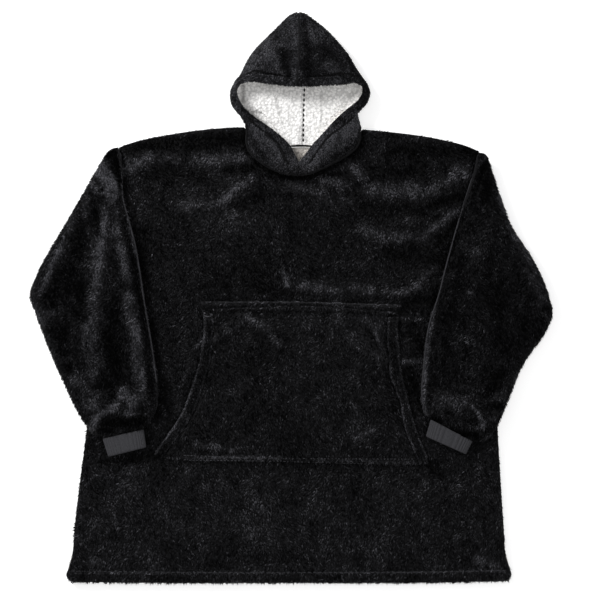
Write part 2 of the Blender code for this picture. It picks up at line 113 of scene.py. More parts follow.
# Pocket tables. Columns: x, y.
POCKET_LEFT = [
    (-157, -27.5), (-153, -52.2), (-155, -76.6), (-157.2, -107.2), (-162.4, -135.8),
    (-176.6, -180.8), (-192, -225.6), (-215.4, -264.8), (-231.8, -286.8), (-257, -319.5),
]
POCKET_RIGHT = [
    (191, -35), (190, -60), (190.2, -86.8), (193.4, -127.6), (196.4, -158.2),
    (206.6, -184.8), (216.8, -213.4), (220.8, -246), (230.8, -276.2), (256, -334),
]
POCKET_FOOT = [(-257, -319.5), (-205, -325.2), (-39, -327.4), (119, -331.5), (256, -334)]
POCKET_HEAD = [(-157, -27.5), (-60, -21), (16.8, -18.5), (100, -21), (191, -35)]
BINDING_LEFT = [
    (-176.6, -30), (-174.6, -52.2), (-175.6, -76.6), (-178.8, -95), (-184.8, -131.8),
    (-199.2, -178.6), (-215.4, -223.6), (-237.8, -260.4), (-262.4, -294.8), (-274.6, -314),
]
BINDING_RIGHT = [
    (215, -38), (212.8, -56.2), (213.5, -84), (215.8, -107.2), (217.8, -137.8),
    (227, -178.6), (243.4, -242), (255.6, -280.4), (267.8, -306.8), (275, -331),
]
# The pocket's turned top edge. Columns: left x, left y, middle y, right x, right y, rise.
POCKET_BAND = [
    (-181.8, -7.2, -8.8, 220.8, -13.8, 0.0),
    (-180.8, -12.0, -10.6, 220.5, -19.0, 2.0),
    (-178.0, -18.5, -13.2, 219.0, -25.0, 1.2),
    (-173.5, -22.8, -15.6, 215.5, -29.0, -0.6),
]

# Sleeve tables, from the shoulder down to the cuff. Columns: x, y.
SLEEVE_LEFT_OUTER = [
    (-373.2, 283.2), (-446.5, 155), (-512, 36), (-522, 5), (-510.4, -32.4),
    (-468.4, -138.8), (-411.2, -250.8), (-397.2, -270),
]
SLEEVE_LEFT_INNER = [
    (-345.8, 300.2), (-335.4, 245.2), (-336.6, 208.2), (-323.2, 153.2), (-311.2, 107.2),
    (-302.2, 57.2), (-292, -10), (-276.6, -98.8), (-265.4, -178.8), (-267.8, -214.8),
    (-288.6, -258),
]
SLEEVE_LEFT_START = [(-373.2, 283.2), (-366, 292.5), (-357, 298), (-345.8, 300.2)]
SLEEVE_LEFT_END = [(-397.2, -270), (-376, -276.5), (-335, -270), (-288.6, -258)]
SLEEVE_RIGHT_OUTER = [
    (392.8, 281.2), (415, 212), (438.8, 146), (488, 67.2), (515, 2), (522, -36.2),
    (510.8, -62.8), (464.8, -131.8), (434.8, -200.8), (415.6, -246.8), (390, -286),
]
SLEEVE_RIGHT_INNER = [
    (374, 290), (363.8, 240.4), (340.8, 176.2), (324.8, 123.2), (308.8, 66),
    (292.6, 3.8), (274, -54.8), (262.4, -138.8), (259.5, -200.8), (266.2, -230.8),
]
SLEEVE_RIGHT_START = [(392.8, 281.2), (387.5, 287), (374, 290)]
SLEEVE_RIGHT_END = [(390, -286), (362, -284), (322, -264.6), (266.2, -230.8)]
# Heights of a sleeve's top. Columns: share of its length, at the outer side, at the inner side.
SLEEVE_HEIGHTS = [
    (0.0, 20, 21), (0.12, 25, 25), (0.3, 28, 29), (0.5, 28, 32), (0.7, 24, 33),
    (0.85, 27, 34), (0.94, 33, 36), (1.0, 32, 33),
]
SLEEVE_LEFT_FOLDS = [
    (-420, 180, -350, -60, 3.5, 26),
    (-470, 60, -420, -120, 3.0, 28),
    (-330, 100, -300, -90, 2.5, 22),
    (-395, -215, -285, -205, 3.0, 24),
]
SLEEVE_RIGHT_FOLDS = [
    (400, 180, 360, -40, 3.5, 26),
    (470, 40, 430, -120, 3.0, 28),
    (325, 90, 300, -80, 2.5, 22),
    (300, -205, 400, -235, 3.0, 24),
]

# Cuff corners. Columns: x and y by the sleeve, x and y at the wrist.
CUFF_LEFT = [(-377, -281.2, -365.2, -317.8), (-294.6, -262.5, -289.2, -298.8)]
CUFF_RIGHT = [(278.3, -243, 268.6, -277.2), (362, -286.6, 348.8, -312.8)]
CUFF_MIDDLE = ON_FRONT + 7.3

# Hood tables. Columns: x, y.
MOUTH_LEFT = [
    (27, 249), (8, 285), (-2.4, 303.6), (-20.8, 322), (-43.8, 340.4), (-71.4, 358.8),
    (-94.4, 379.4), (-105.8, 400), (-108, 412), (-102, 424), (-78, 430.5),
    (-45, 426), (-10, 421.5), (9.75, 420.5),
]
MOUTH_RIGHT = [
    (-8, 247), (22, 278), (43.4, 306), (66.4, 331.2), (84.8, 351.8), (112.4, 377),
    (133, 393.2), (142.2, 414), (141.5, 421), (130, 427), (106.8, 425.2),
    (70, 423), (35, 420.5), (10.25, 420.5),
]
OUTLINE_LEFT = [
    (-91, 346), (-91.5, 353), (-108, 371.4), (-118.4, 386.2), (-121.8, 402.4),
    (-120.8, 413.8), (-113.8, 429.8), (-101.2, 446), (-89.8, 469), (-71.4, 496.4),
    (-48.4, 519.4), (-25.4, 542.4), (-2, 564), (12, 571.2),
]
OUTLINE_RIGHT = [
    (138.5, 343), (133.5, 362), (131.8, 370.2), (144.4, 381.6), (154.8, 397.8), (157, 411.6),
    (153.6, 423), (144.4, 436.8), (130.6, 457.4), (112.4, 487.2), (89.4, 514.6),
    (66.4, 537.8), (43.4, 556.2), (24, 569), (16.5, 571.2),
]
HOOD_NECK_LEFT = [
    (27, 249), (8.8, 245), (-17.5, 249.4), (-46, 261), (-69.8, 277.8), (-86, 297.5),
    (-89.6, 318), (-88, 333), (-91, 346),
]
HOOD_NECK_RIGHT = [
    (-8, 247), (9, 245), (33, 246.8), (59, 256.4), (86.8, 270.2), (114.8, 286.6),
    (132.5, 304), (137.5, 321), (136.8, 332), (138.5, 343),
]
CROWN_SEAM = [(10, 420.5), (15, 470), (16.5, 520), (14.5, 571.2)]
NAPE_LEFT = [(-91, 346), (-59.5, 317.4), (-20, 304.6), (22.4, 301.1)]
NAPE_RIGHT = [(138.5, 343), (109.3, 316.4), (70, 304.6), (22.9, 301.1)]
BACK_SEAM = [(22.65, 301.1), (24.5, 400), (21, 490), (15.5, 543)]
# Columns: share of the way from neck to brim, height at the mouth, height at the fold, reach of the fold.
HOOD_HEIGHTS = [
    (0.0, 21.5, 21.5, 10), (0.08, 24, 24.5, 13), (0.2, 28, 26, 14), (0.38, 32, 27, 15),
    (0.55, 36, 30, 20), (0.75, 40, 36, 24), (0.9, 42, 34, 22), (1.0, 42, 30, 18),
]
# Where the mouth turns its corner: share of a half's rows, of the mouth's edge, of the outline.
CORNER, MOUTH_CORNER, OUTLINE_CORNER = 0.42, 0.65, 0.24
RIGHT_OVER_LEFT = 7.6  # the right edge crosses over the left one at the foot of the mouth


def smooth_line(rows):
    """Many points on a smooth line through the rows, with a corner at any row given twice."""
    points = np.array(rows, float)
    steps = np.linalg.norm(np.diff(points, axis=0), axis=1)
    cuts = [0, *(np.flatnonzero(steps < 1e-9) + 1), len(points)]
    pieces = [points[a:b] for a, b in zip(cuts[:-1], cuts[1:]) if b - a > 1]
    line = []
    for piece in pieces:
        h = np.linalg.norm(np.diff(piece, axis=0), axis=1)[:, None]
        slope = np.diff(piece, axis=0) / h
        bend = [slope[:1], (slope[1:] * h[:-1] + slope[:-1] * h[1:]) / (h[1:] + h[:-1]), slope[-1:]]
        turn = np.concatenate(bend)
        t = np.linspace(0, 1, 12)[:, None]
        for i in range(len(piece) - 1):
            a, b = piece[i], piece[i + 1]
            line.append(
                a * (1 + 2 * t) * (1 - t) ** 2
                + b * t**2 * (3 - 2 * t)
                + h[i] * (turn[i] * t * (1 - t) ** 2 - turn[i + 1] * t**2 * (1 - t))
            )
    return np.concatenate(line)


def lengths(line):
    """How far along the line each of its points is."""
    return np.concatenate([[0], np.cumsum(np.linalg.norm(np.diff(line, axis=0), axis=1))])


def at_distance(line, distance):
    """The line's points at the given distances from its start."""
    far = lengths(line)
    return np.stack([np.interp(distance, far, line[:, k]) for k in range(line.shape[1])], axis=-1)


def at_share(line, share):
    """The line's points at the given shares of its length."""
    return at_distance(line, np.asarray(share) * lengths(line)[-1])


def patch(foot, head, left, right, u, v, left_v=None, right_v=None, fade=1):
    """Plan points of a four-sided piece: rows run from left to right, and v from foot to head.

    A row is straight but for what it takes from the curves of the foot and head, less with a larger fade.
    """
    low, high = at_share(smooth_line(foot), u), at_share(smooth_line(head), u)
    start = at_share(smooth_line(left), v if left_v is None else left_v)
    end = at_share(smooth_line(right), v if right_v is None else right_v)
    u, v = u[None, :, None], v[:, None, None]
    low_bend = low - ((1 - u) * low[0] + u * low[-1])
    high_bend = high - ((1 - u) * high[0] + u * high[-1])
    straight = (1 - u) * start[:, None] + u * end[:, None]
    return straight + (1 - v) ** fade * low_bend + v**fade * high_bend


def round_edge(distance, reach, least):
    """From least at an edge to 1 at the reach, on a quarter circle."""
    t = np.clip(distance / reach, 0, 1)
    return least + (1 - least) * np.sqrt(np.clip(1 - (1 - t) ** 2, 0, 1))


def edge_distance(plan):
    """Distance of each point of a grid from the grid's rim, across rows and columns."""
    across = np.linalg.norm(np.diff(plan, axis=1), axis=2)
    along = np.linalg.norm(np.diff(plan, axis=0), axis=2)
    left = np.pad(np.cumsum(across, axis=1), ((0, 0), (1, 0)))
    foot = np.pad(np.cumsum(along, axis=0), ((1, 0), (0, 0)))
    return left, left[:, -1:] - left, foot, foot[-1:] - foot


def folds(plan, table):
    """Height that soft folds add at each plan point."""
    total = np.zeros(plan.shape[:2])
    for x0, y0, x1, y1, height, reach in table:
        start, run = np.array([x0, y0]), np.array([x1 - x0, y1 - y0], float)
        share = np.clip((plan - start) @ run / (run @ run), 0, 1)
        away = np.linalg.norm(plan - start - share[..., None] * run, axis=2) / reach
        total += height * np.cos(np.clip(away, 0, 1) * np.pi / 2) ** 2
    return total


def with_height(plan, height):
    return np.concatenate([plan, np.broadcast_to(height, plan.shape[:2])[..., None]], axis=2)


# Creases that only the cloth's finish shows. Columns as for the folds, and a negative height is a trough.
FRONT_CREASES = [
    (-190, 188, -88, 214, -2.6, 9),
    (-300, 262, -240, 180, 1.6, 16),
    (-120, 262, -60, 232, 1.5, 14),
    (120, 232, 205, 262, 1.4, 15),
    (196, 92, 262, 128, -2.2, 9),
    (-60, 120, 30, 96, -1.2, 14),
    (240, -10, 262, 40, 1.6, 15),
    (-240, 60, -215, -20, 1.6, 18),
    (-236, -110, -205, -160, 1.4, 12),
    (-380, -360, -330, -300, 1.6, 20),
    (-330, -520, -240, -480, 1.5, 22),
    (-60, -470, 60, -430, 1.3, 26),
    (90, -390, 210, -372, 1.4, 20),
    (300, -400, 390, -372, 1.6, 18),
    (230, -42, 262, -38, -1.6, 8),
    (228, -128, 268, -124, 1.6, 7),
]
POCKET_CREASES = [
    (-152, -84, -138, -64, 1.6, 9),
    (-138, -64, -99, -40, 1.4, 9),
    (-99, -32, -60, -54, 1.6, 8),
    (-60, -54, -22, -96, 1.5, 9),
    (144, -30, 188, -116, -2.0, 8),
    (172, -28, 188, -70, 1.4, 6),
    (-130, -200, -40, -170, 1.2, 18),
    (20, -260, 140, -300, 1.2, 20),
    (-190, -300, -60, -290, 1.0, 14),
]
SLEEVE_LEFT_CREASES = [
    (-366, 284, -342, 224, -3.4, 9),
    (-350, 210, -330, 120, -1.8, 12),
    (-440, 130, -400, 20, 1.8, 14),
    (-486, 60, -452, -60, 1.8, 14),
    (-400, 10, -366, -150, 2.0, 16),
    (-330, 40, -310, -120, 1.8, 12),
    (-392, -182, -284, -170, -2.4, 12),
    (-380, -238, -290, -226, -2.6, 10),
    (-440, -120, -400, -190, 1.6, 12),
]
SLEEVE_RIGHT_CREASES = [
    (384, 262, 366, 200, -2.6, 9),
    (352, 190, 330, 110, -1.6, 12),
    (430, 110, 402, 10, 1.8, 14),
    (480, 30, 452, -50, 1.8, 14),
    (392, 0, 362, -150, 2.0, 16),
    (322, 40, 300, -120, 1.8, 12),
    (282, -178, 392, -200, -2.2, 12),
    (296, -226, 380, -256, -2.4, 10),
    (404, -236, 440, -160, 1.6, 12),
]
# Where the pile is painted lighter or darker: painted sheen of its brushed nap, painted highlights on ridges
# and edges, and painted shade in creases, troughs and along seams. Columns: x and y of one end, x and y of
# the other, tone, reach.
FRONT_SHEEN_AND_SHADE = [
    (-325, 262, -285, 285, 2.2, 24), (-285, 285, -230, 275, 1.5, 20), (-190, 278, -80, 282, 1.8, 24),
    (-215, 188, -140, 192, 2.1, 26), (-140, 195, -80, 240, 2.4, 16), (-250, 225, -190, 215, 0.9, 34),
    (-60, 235, -30, 225, 1.2, 14), (0, 225, 60, 210, 1.6, 20), (60, 240, 110, 225, 2.0, 16),
    (110, 275, 145, 240, 2.3, 15), (75, 260, 110, 262, 1.4, 11), (160, 215, 280, 215, 1.6, 26),
    (280, 215, 345, 250, 2.0, 22), (330, 262, 350, 240, 1.8, 14), (145, 135, 200, 120, 1.3, 24),
    (190, 120, 270, 125, 2.2, 19), (270, 130, 330, 175, 2.5, 14), (-15, 50, -8, 25, 2.4, 9),
    (20, 25, 100, 15, 2.0, 16), (120, 20, 160, 15, 1.7, 16), (190, 15, 215, 12, 1.6, 12),
    (225, 12, 255, 25, 2.4, 14), (255, 30, 290, 62, 1.6, 9), (-170, 160, 0, 150, 0.5, 70),
    (50, 190, 130, 195, 0.8, 24), (180, 305, 250, 315, 0.9, 18), (-330, -345, -290, -345, 1.3, 18),
    (-210, -350, -260, -440, 1.1, 24), (-260, -370, -250, -480, 0.8, 22), (-400, -522, -370, -535, 1.8, 16),
    (-300, -500, -260, -540, 0.7, 34), (-180, -420, -60, -480, 0.5, 46), (200, -380, 260, -440, 0.8, 38),
    (300, -390, 400, -460, 0.5, 46), (370, -520, 410, -535, 2.4, 14), (340, -545, 420, -545, 1.6, 8),
    (-50, -360, 50, -350, 0.5, 22), (-193, -101, -177, -83, 1.9, 8), (-222, -173, -201, -132, 1.3, 8),
    (222, -40, 262, -42, 2.0, 6), (222, -127, 262, -125, 2.3, 7), (225, -65, 250, -65, 1.2, 9),
    (-430, -549, -150, -550, 1.5, 4), (-150, -550, 150, -550, 1.7, 4), (150, -550, 428, -547, 1.5, 4),
    (-330, 305, -100, 322, -1.7, 26), (-280, 245, -180, 240, -0.8, 28), (-130, 258, -70, 262, -1.7, 15),
    (-120, 180, -70, 200, -0.8, 18), (-300, 130, -290, -200, -1.2, 30), (200, 300, 370, 290, -1.7, 24),
    (160, 255, 260, 255, -0.9, 28), (150, 180, 260, 175, -1.2, 24), (280, 185, 340, 205, -1.9, 15),
    (200, 90, 290, 80, -1.2, 26), (290, 105, 330, 150, -1.7, 11), (230, -10, 290, 0, -1.5, 24),
    (240, -60, 262, -100, -2.2, 24), (235, -150, 262, -220, -1.8, 20), (-285, -50, -270, -230, -1.7, 24),
    (-250, -170, -240, -240, -1.4, 18), (-100, 30, 0, 5, -0.7, 22), (60, 245, 95, 250, -1.4, 11),
    (-60, 250, 0, 240, -1.1, 11), (120, 210, 160, 185, -0.9, 18), (270, -330, 300, -350, -1.0, 22),
    (-290, -320, -380, -330, -1.0, 18), (-170, 20, -60, 60, -0.4, 40), (-440, -480, -430, -300, -0.8, 14),
    (-380, -460, 380, -450, 0.55, 190),
]
POCKET_SHEEN_AND_SHADE = [
    (-150, -84, -100, -45, 1.9, 13), (-99, -34, -60, -52, 1.8, 13), (-60, -52, -25, -90, 2.1, 15),
    (100, -40, 180, -50, 1.2, 34), (120, -80, 180, -120, 1.2, 30), (150, -35, 188, -115, 1.7, 9),
    (-190, -290, -150, -300, 1.6, 11), (-160, -290, -120, -305, 1.6, 9), (130, -280, 165, -262, 1.8, 10),
    (155, -260, 165, -248, 1.6, 7), (-150, -317, -30, -319, 2.2, 6), (-240, -320, -150, -321, 1.2, 5),
    (-30, -320, 240, -330, 1.3, 5), (-150, -14, 210, -18, 1.2, 4), (-100, -120, -40, -130, -0.6, 34),
    (190, -160, 215, -240, -0.8, 14), (-60, -200, 60, -180, -0.3, 56), (-150, -25, 180, -29, -1.2, 4),
    (20, -40, 80, -70, 0.7, 30), (-120, -190, 120, -190, 0.4, 150), (150, -55, 175, -110, -1.0, 6),
]
SLEEVE_LEFT_SHEEN_AND_SHADE = [
    (-385, 262, -360, 225, 3.8, 22), (-400, 225, -355, 205, 2.8, 16), (-372, 190, -380, 100, 2.3, 14),
    (-380, 100, -388, 30, 2.5, 16), (-390, 30, -400, -60, 2.3, 18), (-400, -60, -400, -150, 2.1, 22),
    (-345, 180, -350, 130, 1.8, 13), (-340, 100, -328, 40, 2.3, 15), (-322, 0, -308, -90, 2.3, 19),
    (-308, -90, -300, -180, 2.5, 19), (-340, -190, -305, -200, 2.6, 15), (-310, -200, -320, -228, 3.0, 16),
    (-350, -213, -392, -240, 3.2, 10), (-392, -245, -402, -262, 2.5, 13), (-430, -165, -400, -210, 1.9, 24),
    (-405, 200, -415, 160, 2.0, 10), (-500, 10, -455, 110, 2.2, 9), (-455, 110, -430, 160, 2.0, 10),
    (-512, -10, -470, -130, 1.8, 9), (-492, -30, -482, -30, 1.3, 13), (-382, 216, -378, 216, -4.0, 6),
    (-420, 160, -425, 80, -1.6, 16), (-440, 60, -480, 0, -1.2, 24), (-460, -50, -450, -110, -1.2, 24),
    (-445, -130, -440, -145, -1.8, 11), (-390, 175, -385, 130, -1.8, 8), (-360, 90, -345, 60, -1.0, 14),
    (-360, -20, -350, -60, -1.4, 17), (-360, -80, -350, -150, -2.0, 22), (-375, -150, -360, -190, -1.8, 18),
    (-420, 20, -410, -30, -1.6, 22), (-353, 288, -341, 222, -3.6, 8), (-362, 288, -352, 292, -2.6, 10),
    (-370, -247, -298, -242, -3.2, 13), (-380, -262, -358, -262, -2.4, 8), (-344, 195, -312, 57, -1.8, 8),
    (-312, 57, -295, -50, -1.7, 9), (-295, -50, -280, -190, -1.5, 9), (-336, 290, -337, 200, 1.8, 4),
    (-336, 200, -303, 57, 1.9, 4), (-303, 57, -285, -50, 1.2, 4), (-285, -50, -268, -190, 1.0, 4),
]
SLEEVE_RIGHT_SHEEN_AND_SHADE = [
    (414, 205, 446, 125, 1.9, 16), (450, 125, 484, 60, 2.2, 20), (478, 55, 504, 0, 2.0, 24),
    (480, -10, 500, -15, 1.9, 7), (505, -30, 515, -45, 1.7, 9), (350, 235, 292, 20, 3.0, 7),
    (292, 20, 270, -120, 2.8, 7), (270, -120, 264, -220, 3.0, 8), (262, -200, 270, -235, 2.8, 10),
    (340, -210, 300, -200, 1.1, 26), (384, -250, 384, -256, 4.4, 9), (362, -215, 382, -243, 2.4, 6),
    (395, -240, 410, -238, 2.1, 6), (380, -285, 395, -275, 1.9, 9), (400, -200, 435, -180, 1.3, 10),
    (440, -100, 470, -115, 1.3, 7), (375, 110, 365, 90, 0.9, 18), (445, -160, 425, -200, 1.2, 12),
    (350, 12, 364, 10, 2.2, 4), (350, -88, 366, -90, 2.3, 4), (386, 35, 394, 33, 1.7, 4),
    (384, -66, 394, -66, 1.7, 4), (315, -88, 328, -90, 1.6, 4), (370, 185, 385, 178, 1.5, 5),
    (372, 262, 380, 275, 1.8, 6), (385, 262, 388, 200, -1.5, 16), (410, 20, 420, -100, -0.8, 34),
    (420, -150, 395, -190, -1.6, 20), (405, -215, 420, -215, -1.9, 12), (460, -40, 480, -70, -0.8, 22),
    (280, -235, 300, -246, -1.8, 9), (310, -262, 370, -273, -2.4, 10), (336, 170, 306, 20, -0.9, 10),
]
HOOD_LEFT_SHEEN_AND_SHADE = [
    (-20, 492, -4, 440, -2.4, 15), (4, 545, 6, 440, 0.6, 8), (-85, 320, -40, 265, -1.2, 12),
    (-60, 470, -20, 520, 0.4, 22), (-118, 400, -100, 430, -1.0, 12), (-70, 340, -20, 285, 0.5, 16),
    (-100, 380, -50, 345, -1.2, 8), (-108, 440, -80, 440, -0.9, 10),
]
HOOD_RIGHT_SHEEN_AND_SHADE = [
    (35, 540, 50, 505, 0.8, 12), (75, 462, 112, 442, 1.3, 22), (50, 432, 132, 430, 1.1, 12),
    (24, 545, 34, 450, -1.3, 14), (60, 500, 88, 475, -0.9, 16), (125, 350, 35, 275, 1.9, 34),
    (125, 385, 60, 325, 0.9, 10), (118, 300, 60, 262, -0.8, 9), (150, 400, 150, 420, -0.6, 12),
]
SLEEVE_LEFT_SHEEN_AND_SHADE = [(*row[:5], row[5] * (1.35 if row[5] > 6 else 1)) for row in SLEEVE_LEFT_SHEEN_AND_SHADE]
LINING_SHADE = [
    (-96, 424, -97, 393, -2.6, 7), (-58, 438, -50, 427, -1.6, 6), (-31, 403, -25, 371, -1.2, 4),
    (-25, 371, -16, 345, -1.0, 4), (60, 412, 60, 352, -1.1, 4), (-100, 400, -30, 332, -0.8, 10),
    (128, 410, 60, 335, -0.7, 12), (24, 335, 24, 306, -0.9, 16), (-60, 425, 100, 425, -0.5, 8),
]
# Sewing lines. Columns: x, y.
BRIM_STITCHES = [
    [(-87.4, 446), (-71.4, 451.8), (-34.6, 444.8), (-7.2, 439.2)],
    [(32, 440), (66.4, 442.6), (107.8, 447.2), (132.8, 442.6)],
    [(-86, 360), (-71.4, 345), (-43.8, 324.2), (-25.4, 306), (-14, 280.6), (-4.8, 266.8)],
    [(123.8, 361), (100.8, 340.4), (77.8, 324.2), (61.8, 306), (48, 285.2), (36.6, 269.2)],
]
POCKET_STITCHES = [
    [(-215, -314.8), (-121, -318.8), (119, -322.2), (243, -322.5)],
    [(-205, -325), (-39, -327), (119, -331.4), (238, -334)],
]
CROSS_STITCHES = [
    [(-215.4, -227.6), (-205, -234), (-195.2, -240)],
    [(218.8, -250.2), (232, -247.6), (244.4, -244)],
    [(-174, -36), (-166, -38), (-158, -36)],
    [(192, -42), (203, -44), (214, -42)],
]
LINING_SEAM = [(26.2, 419), (25.4, 380), (24.6, 340), (24, 306)]
NECK_SEAM = [(-2, 303.4), (10, 304.4), (24, 304.6), (46, 303)]
BAND_STITCH = [(-176, -20.6), (-60, -17.2), (60, -16.6), (216, -26)]
HEM_STITCH = [(-440, -547), (-300, -549), (0, -549.5), (300, -548.6), (433, -545.6)]

GATHERS = 17  # pleats across the end of a sleeve
GATHER_DEPTH = 1.6
GATHER_REACH = 46

SEAM_BARE = 2.2  # no pile this near to a line of stitches
BASE_TONE = 2.4  # of pile that no stroke paints with sheen and shade, in doublings over the darkest
SHEEN_AND_SHADE_STRENGTH = 1.2  # times the tones of the tables of painted sheen and shade
CREASE_HEIGHT = 1.6  # times the heights of the crease tables
NAP = -np.pi / 2  # the pile lies towards the hem

seeds = iter(range(1, 1000))


def lattice(x, y, size, seed):
    """Smooth noise from -1 to 1 with lumps of about this size, the same each run."""
    values = np.random.default_rng(seed).uniform(-1, 1, (64, 64))
    u, v = x / size + 32, y / size + 32
    i, j = np.floor(u).astype(int), np.floor(v).astype(int)
    a, b = u - i, v - j
    a, b = a * a * (3 - 2 * a), b * b * (3 - 2 * b)
    low = values[j % 64, i % 64] * (1 - a) + values[j % 64, (i + 1) % 64] * a
    high = values[(j + 1) % 64, i % 64] * (1 - a) + values[(j + 1) % 64, (i + 1) % 64] * a
    return low * (1 - b) + high * b


def ripples(x, y, rows, total=0.0):
    """The total with noise of several sizes added. Rows are height, size and seed."""
    for height, size, seed in rows:
        total = total + height * lattice(x, y, size, seed)
    return total


def creased(plan, creases, rows):
    """Creases with ripples on them."""
    return ripples(plan[..., 0], plan[..., 1], rows, CREASE_HEIGHT * folds(plan, creases))


def lumps(x, y, size, seed):
    """Round bumps from 0 to 1, one in each cell of a jittered lattice."""
    jitter = np.random.default_rng(seed).uniform(0.15, 0.85, (64, 64, 2))
    u, v = x / size, y / size
    i, j = np.floor(u).astype(int), np.floor(v).astype(int)
    nearest = np.full(x.shape, 9.0)
    for di in (-1, 0, 1):
        for dj in (-1, 0, 1):
            spot = jitter[(j + dj) % 64, (i + di) % 64]
            away = np.hypot(i + di + spot[..., 0] - u, j + dj + spot[..., 1] - v)
            nearest = np.minimum(nearest, away)
    return np.clip(1 - nearest, 0, 1)


def nodes_of(name):
    material = bpy.data.materials.new(name)
    material.use_nodes = True
    tree = material.node_tree
    return material, tree.nodes, tree.links, tree.nodes["Principled BSDF"]


def add(nodes, kind, **values):
    node = nodes.new(kind)
    for key, value in values.items():
        if key in node.inputs:
            node.inputs[key].default_value = value
        else:
            setattr(node, key, value)
    return node


def ramp(nodes, links, factor, stops):
    """A colour ramp. Stops are (place, colour)."""
    node = nodes.new("ShaderNodeValToRGB")
    band = node.color_ramp
    while len(band.elements) < len(stops):
        band.elements.new(0.5)
    for element, (place, colour) in zip(band.elements, stops):
        element.position = place
        element.color = (*colour, 1)
    links.new(factor, node.inputs["Fac"])
    return node.outputs["Color"]


def grey(value, warm=0.0):
    return (value * (1 + warm), value, value * (1.12 if warm == 0 else 1 - warm))


def painted_colour(nodes, links, shader, colour):
    """The shader's colour: this one times the tone that paint() stores at each point."""
    painted = add(nodes, "ShaderNodeAttribute", attribute_name="tone")
    shade = add(nodes, "ShaderNodeMix", data_type="RGBA", blend_type="MULTIPLY")
    shade.inputs[0].default_value = 1.0
    links.new(colour, shade.inputs[6])
    links.new(painted.outputs["Color"], shade.inputs[7])
    links.new(shade.outputs[2], shader.inputs["Base Color"])


def bumped(nodes, links, shader, height, strength, distance, invert=False):
    lift = add(nodes, "ShaderNodeBump", Strength=strength, Distance=distance, invert=invert)
    links.new(height, lift.inputs["Height"])
    links.new(lift.outputs["Normal"], shader.inputs["Normal"])


def surface(shader, roughness, sheen, glint):
    shader.inputs["Roughness"].default_value = roughness
    shader.inputs["Sheen Weight"].default_value = sheen
    shader.inputs["Specular IOR Level"].default_value = glint


def cloth_material(name, dark, light, clump, blotch, bump, sheen, warm=0.0):
    """Pile or fleece: clumps and blotches between two tones, over a bump of the same clumps."""
    material, nodes, links, shader = nodes_of(name)
    place = nodes.new("ShaderNodeTexCoord").outputs["Object"]
    fine = add(nodes, "ShaderNodeTexVoronoi", Scale=1000 / clump, Randomness=1.0)
    soft = add(nodes, "ShaderNodeTexNoise", Scale=1000 / blotch, Detail=5.0, Roughness=0.6)
    grain = add(nodes, "ShaderNodeTexNoise", Scale=1800 / clump, Detail=3.0, Roughness=0.7)
    for node in (fine, soft, grain):
        links.new(place, node.inputs["Vector"])
    mixed = add(nodes, "ShaderNodeMix", data_type="RGBA", blend_type="MIX")
    mixed.inputs[0].default_value = 0.55
    links.new(soft.outputs["Fac"], mixed.inputs[6])
    links.new(fine.outputs["Color"], mixed.inputs[7])
    value = nodes.new("ShaderNodeRGBToBW")
    links.new(mixed.outputs[2], value.inputs[0])
    colour = ramp(nodes, links, value.outputs[0], [(0.25, grey(dark, warm)), (0.75, grey(light, warm))])
    painted_colour(nodes, links, shader, colour)
    height = add(nodes, "ShaderNodeMath", operation="ADD")
    links.new(fine.outputs["Distance"], height.inputs[0])
    links.new(grain.outputs["Fac"], height.inputs[1])
    bumped(nodes, links, shader, height.outputs[0], bump, 0.002)
    surface(shader, 0.85, sheen, 0.1)
    shader.inputs["Sheen Roughness"].default_value = 0.35
    return material


def fleece_material(name, dark, light, curl, warm):
    """Curly fleece: light nubs with painted shade in the gaps between them."""
    material, nodes, links, shader = nodes_of(name)
    place = nodes.new("ShaderNodeTexCoord").outputs["Object"]
    nub = add(nodes, "ShaderNodeTexVoronoi", Scale=1000 / curl, Randomness=1.0)
    grain = add(nodes, "ShaderNodeTexNoise", Scale=1600 / curl, Detail=4.0, Roughness=0.7)
    for node in (nub, grain):
        links.new(place, node.inputs["Vector"])
    height = add(nodes, "ShaderNodeMath", operation="MULTIPLY_ADD")
    height.inputs[1].default_value = -0.5
    links.new(grain.outputs["Fac"], height.inputs[0])
    links.new(nub.outputs["Distance"], height.inputs[2])
    # The ramp paints shade into the gaps between the nubs.
    colour = ramp(nodes, links, height.outputs[0], [(0.15, grey(light, warm)), (0.4, grey(dark, warm))])
    painted_colour(nodes, links, shader, colour)
    bumped(nodes, links, shader, height.outputs[0], 0.8, 0.002, invert=True)
    surface(shader, 0.9, 0.1, 0.1)
    return material


def plain_material(name, colour, roughness, sheen, glint):
    material, _, _, shader = nodes_of(name)
    shader.inputs["Base Color"].default_value = (*colour, 1)
    surface(shader, roughness, sheen, glint)
    shader.inputs["Sheen Roughness"].default_value = 0.35
    return material


DARKEST, TONE_STEP, TONE_COUNT = 0.0012, 0.7, 10
PLUSH = cloth_material("plush", 0.0015, 0.006, 4.5, 45, 0.9, 0.02)
SHERPA = fleece_material("sherpa", 0.68, 0.95, 5.0, 0.012)
# A darker copy of the sherpa for the back panel's inside at the neck: painted shade from the hood over it.
SHADED_NECK_FLEECE = fleece_material("sherpa_painted_shade", 0.26, 0.46, 5.0, 0.06)
TONES = [
    plain_material(f"pile_{k}", grey(DARKEST * 2 ** (TONE_STEP * k)), 0.55, 0.004 * k, 0.01 + 0.012 * k)
    for k in range(TONE_COUNT)
]
THREAD = plain_material("thread", grey(0.05), 0.7, 0.1, 0.2)
# Lighter pile for the light lines along the hem's stitches and the sleeve seams: a painted highlight on their
# ridges.
HIGHLIGHT_PILE = plain_material("pile_painted_highlight", grey(0.028), 0.8, 0.02, 0.1)
CROWN_CLOTH = plain_material("crown_seam", grey(0.006), 0.8, 0.02, 0.1)
DARK_THREAD = plain_material("dark_thread", grey(0.004), 0.8, 0.0, 0.1)


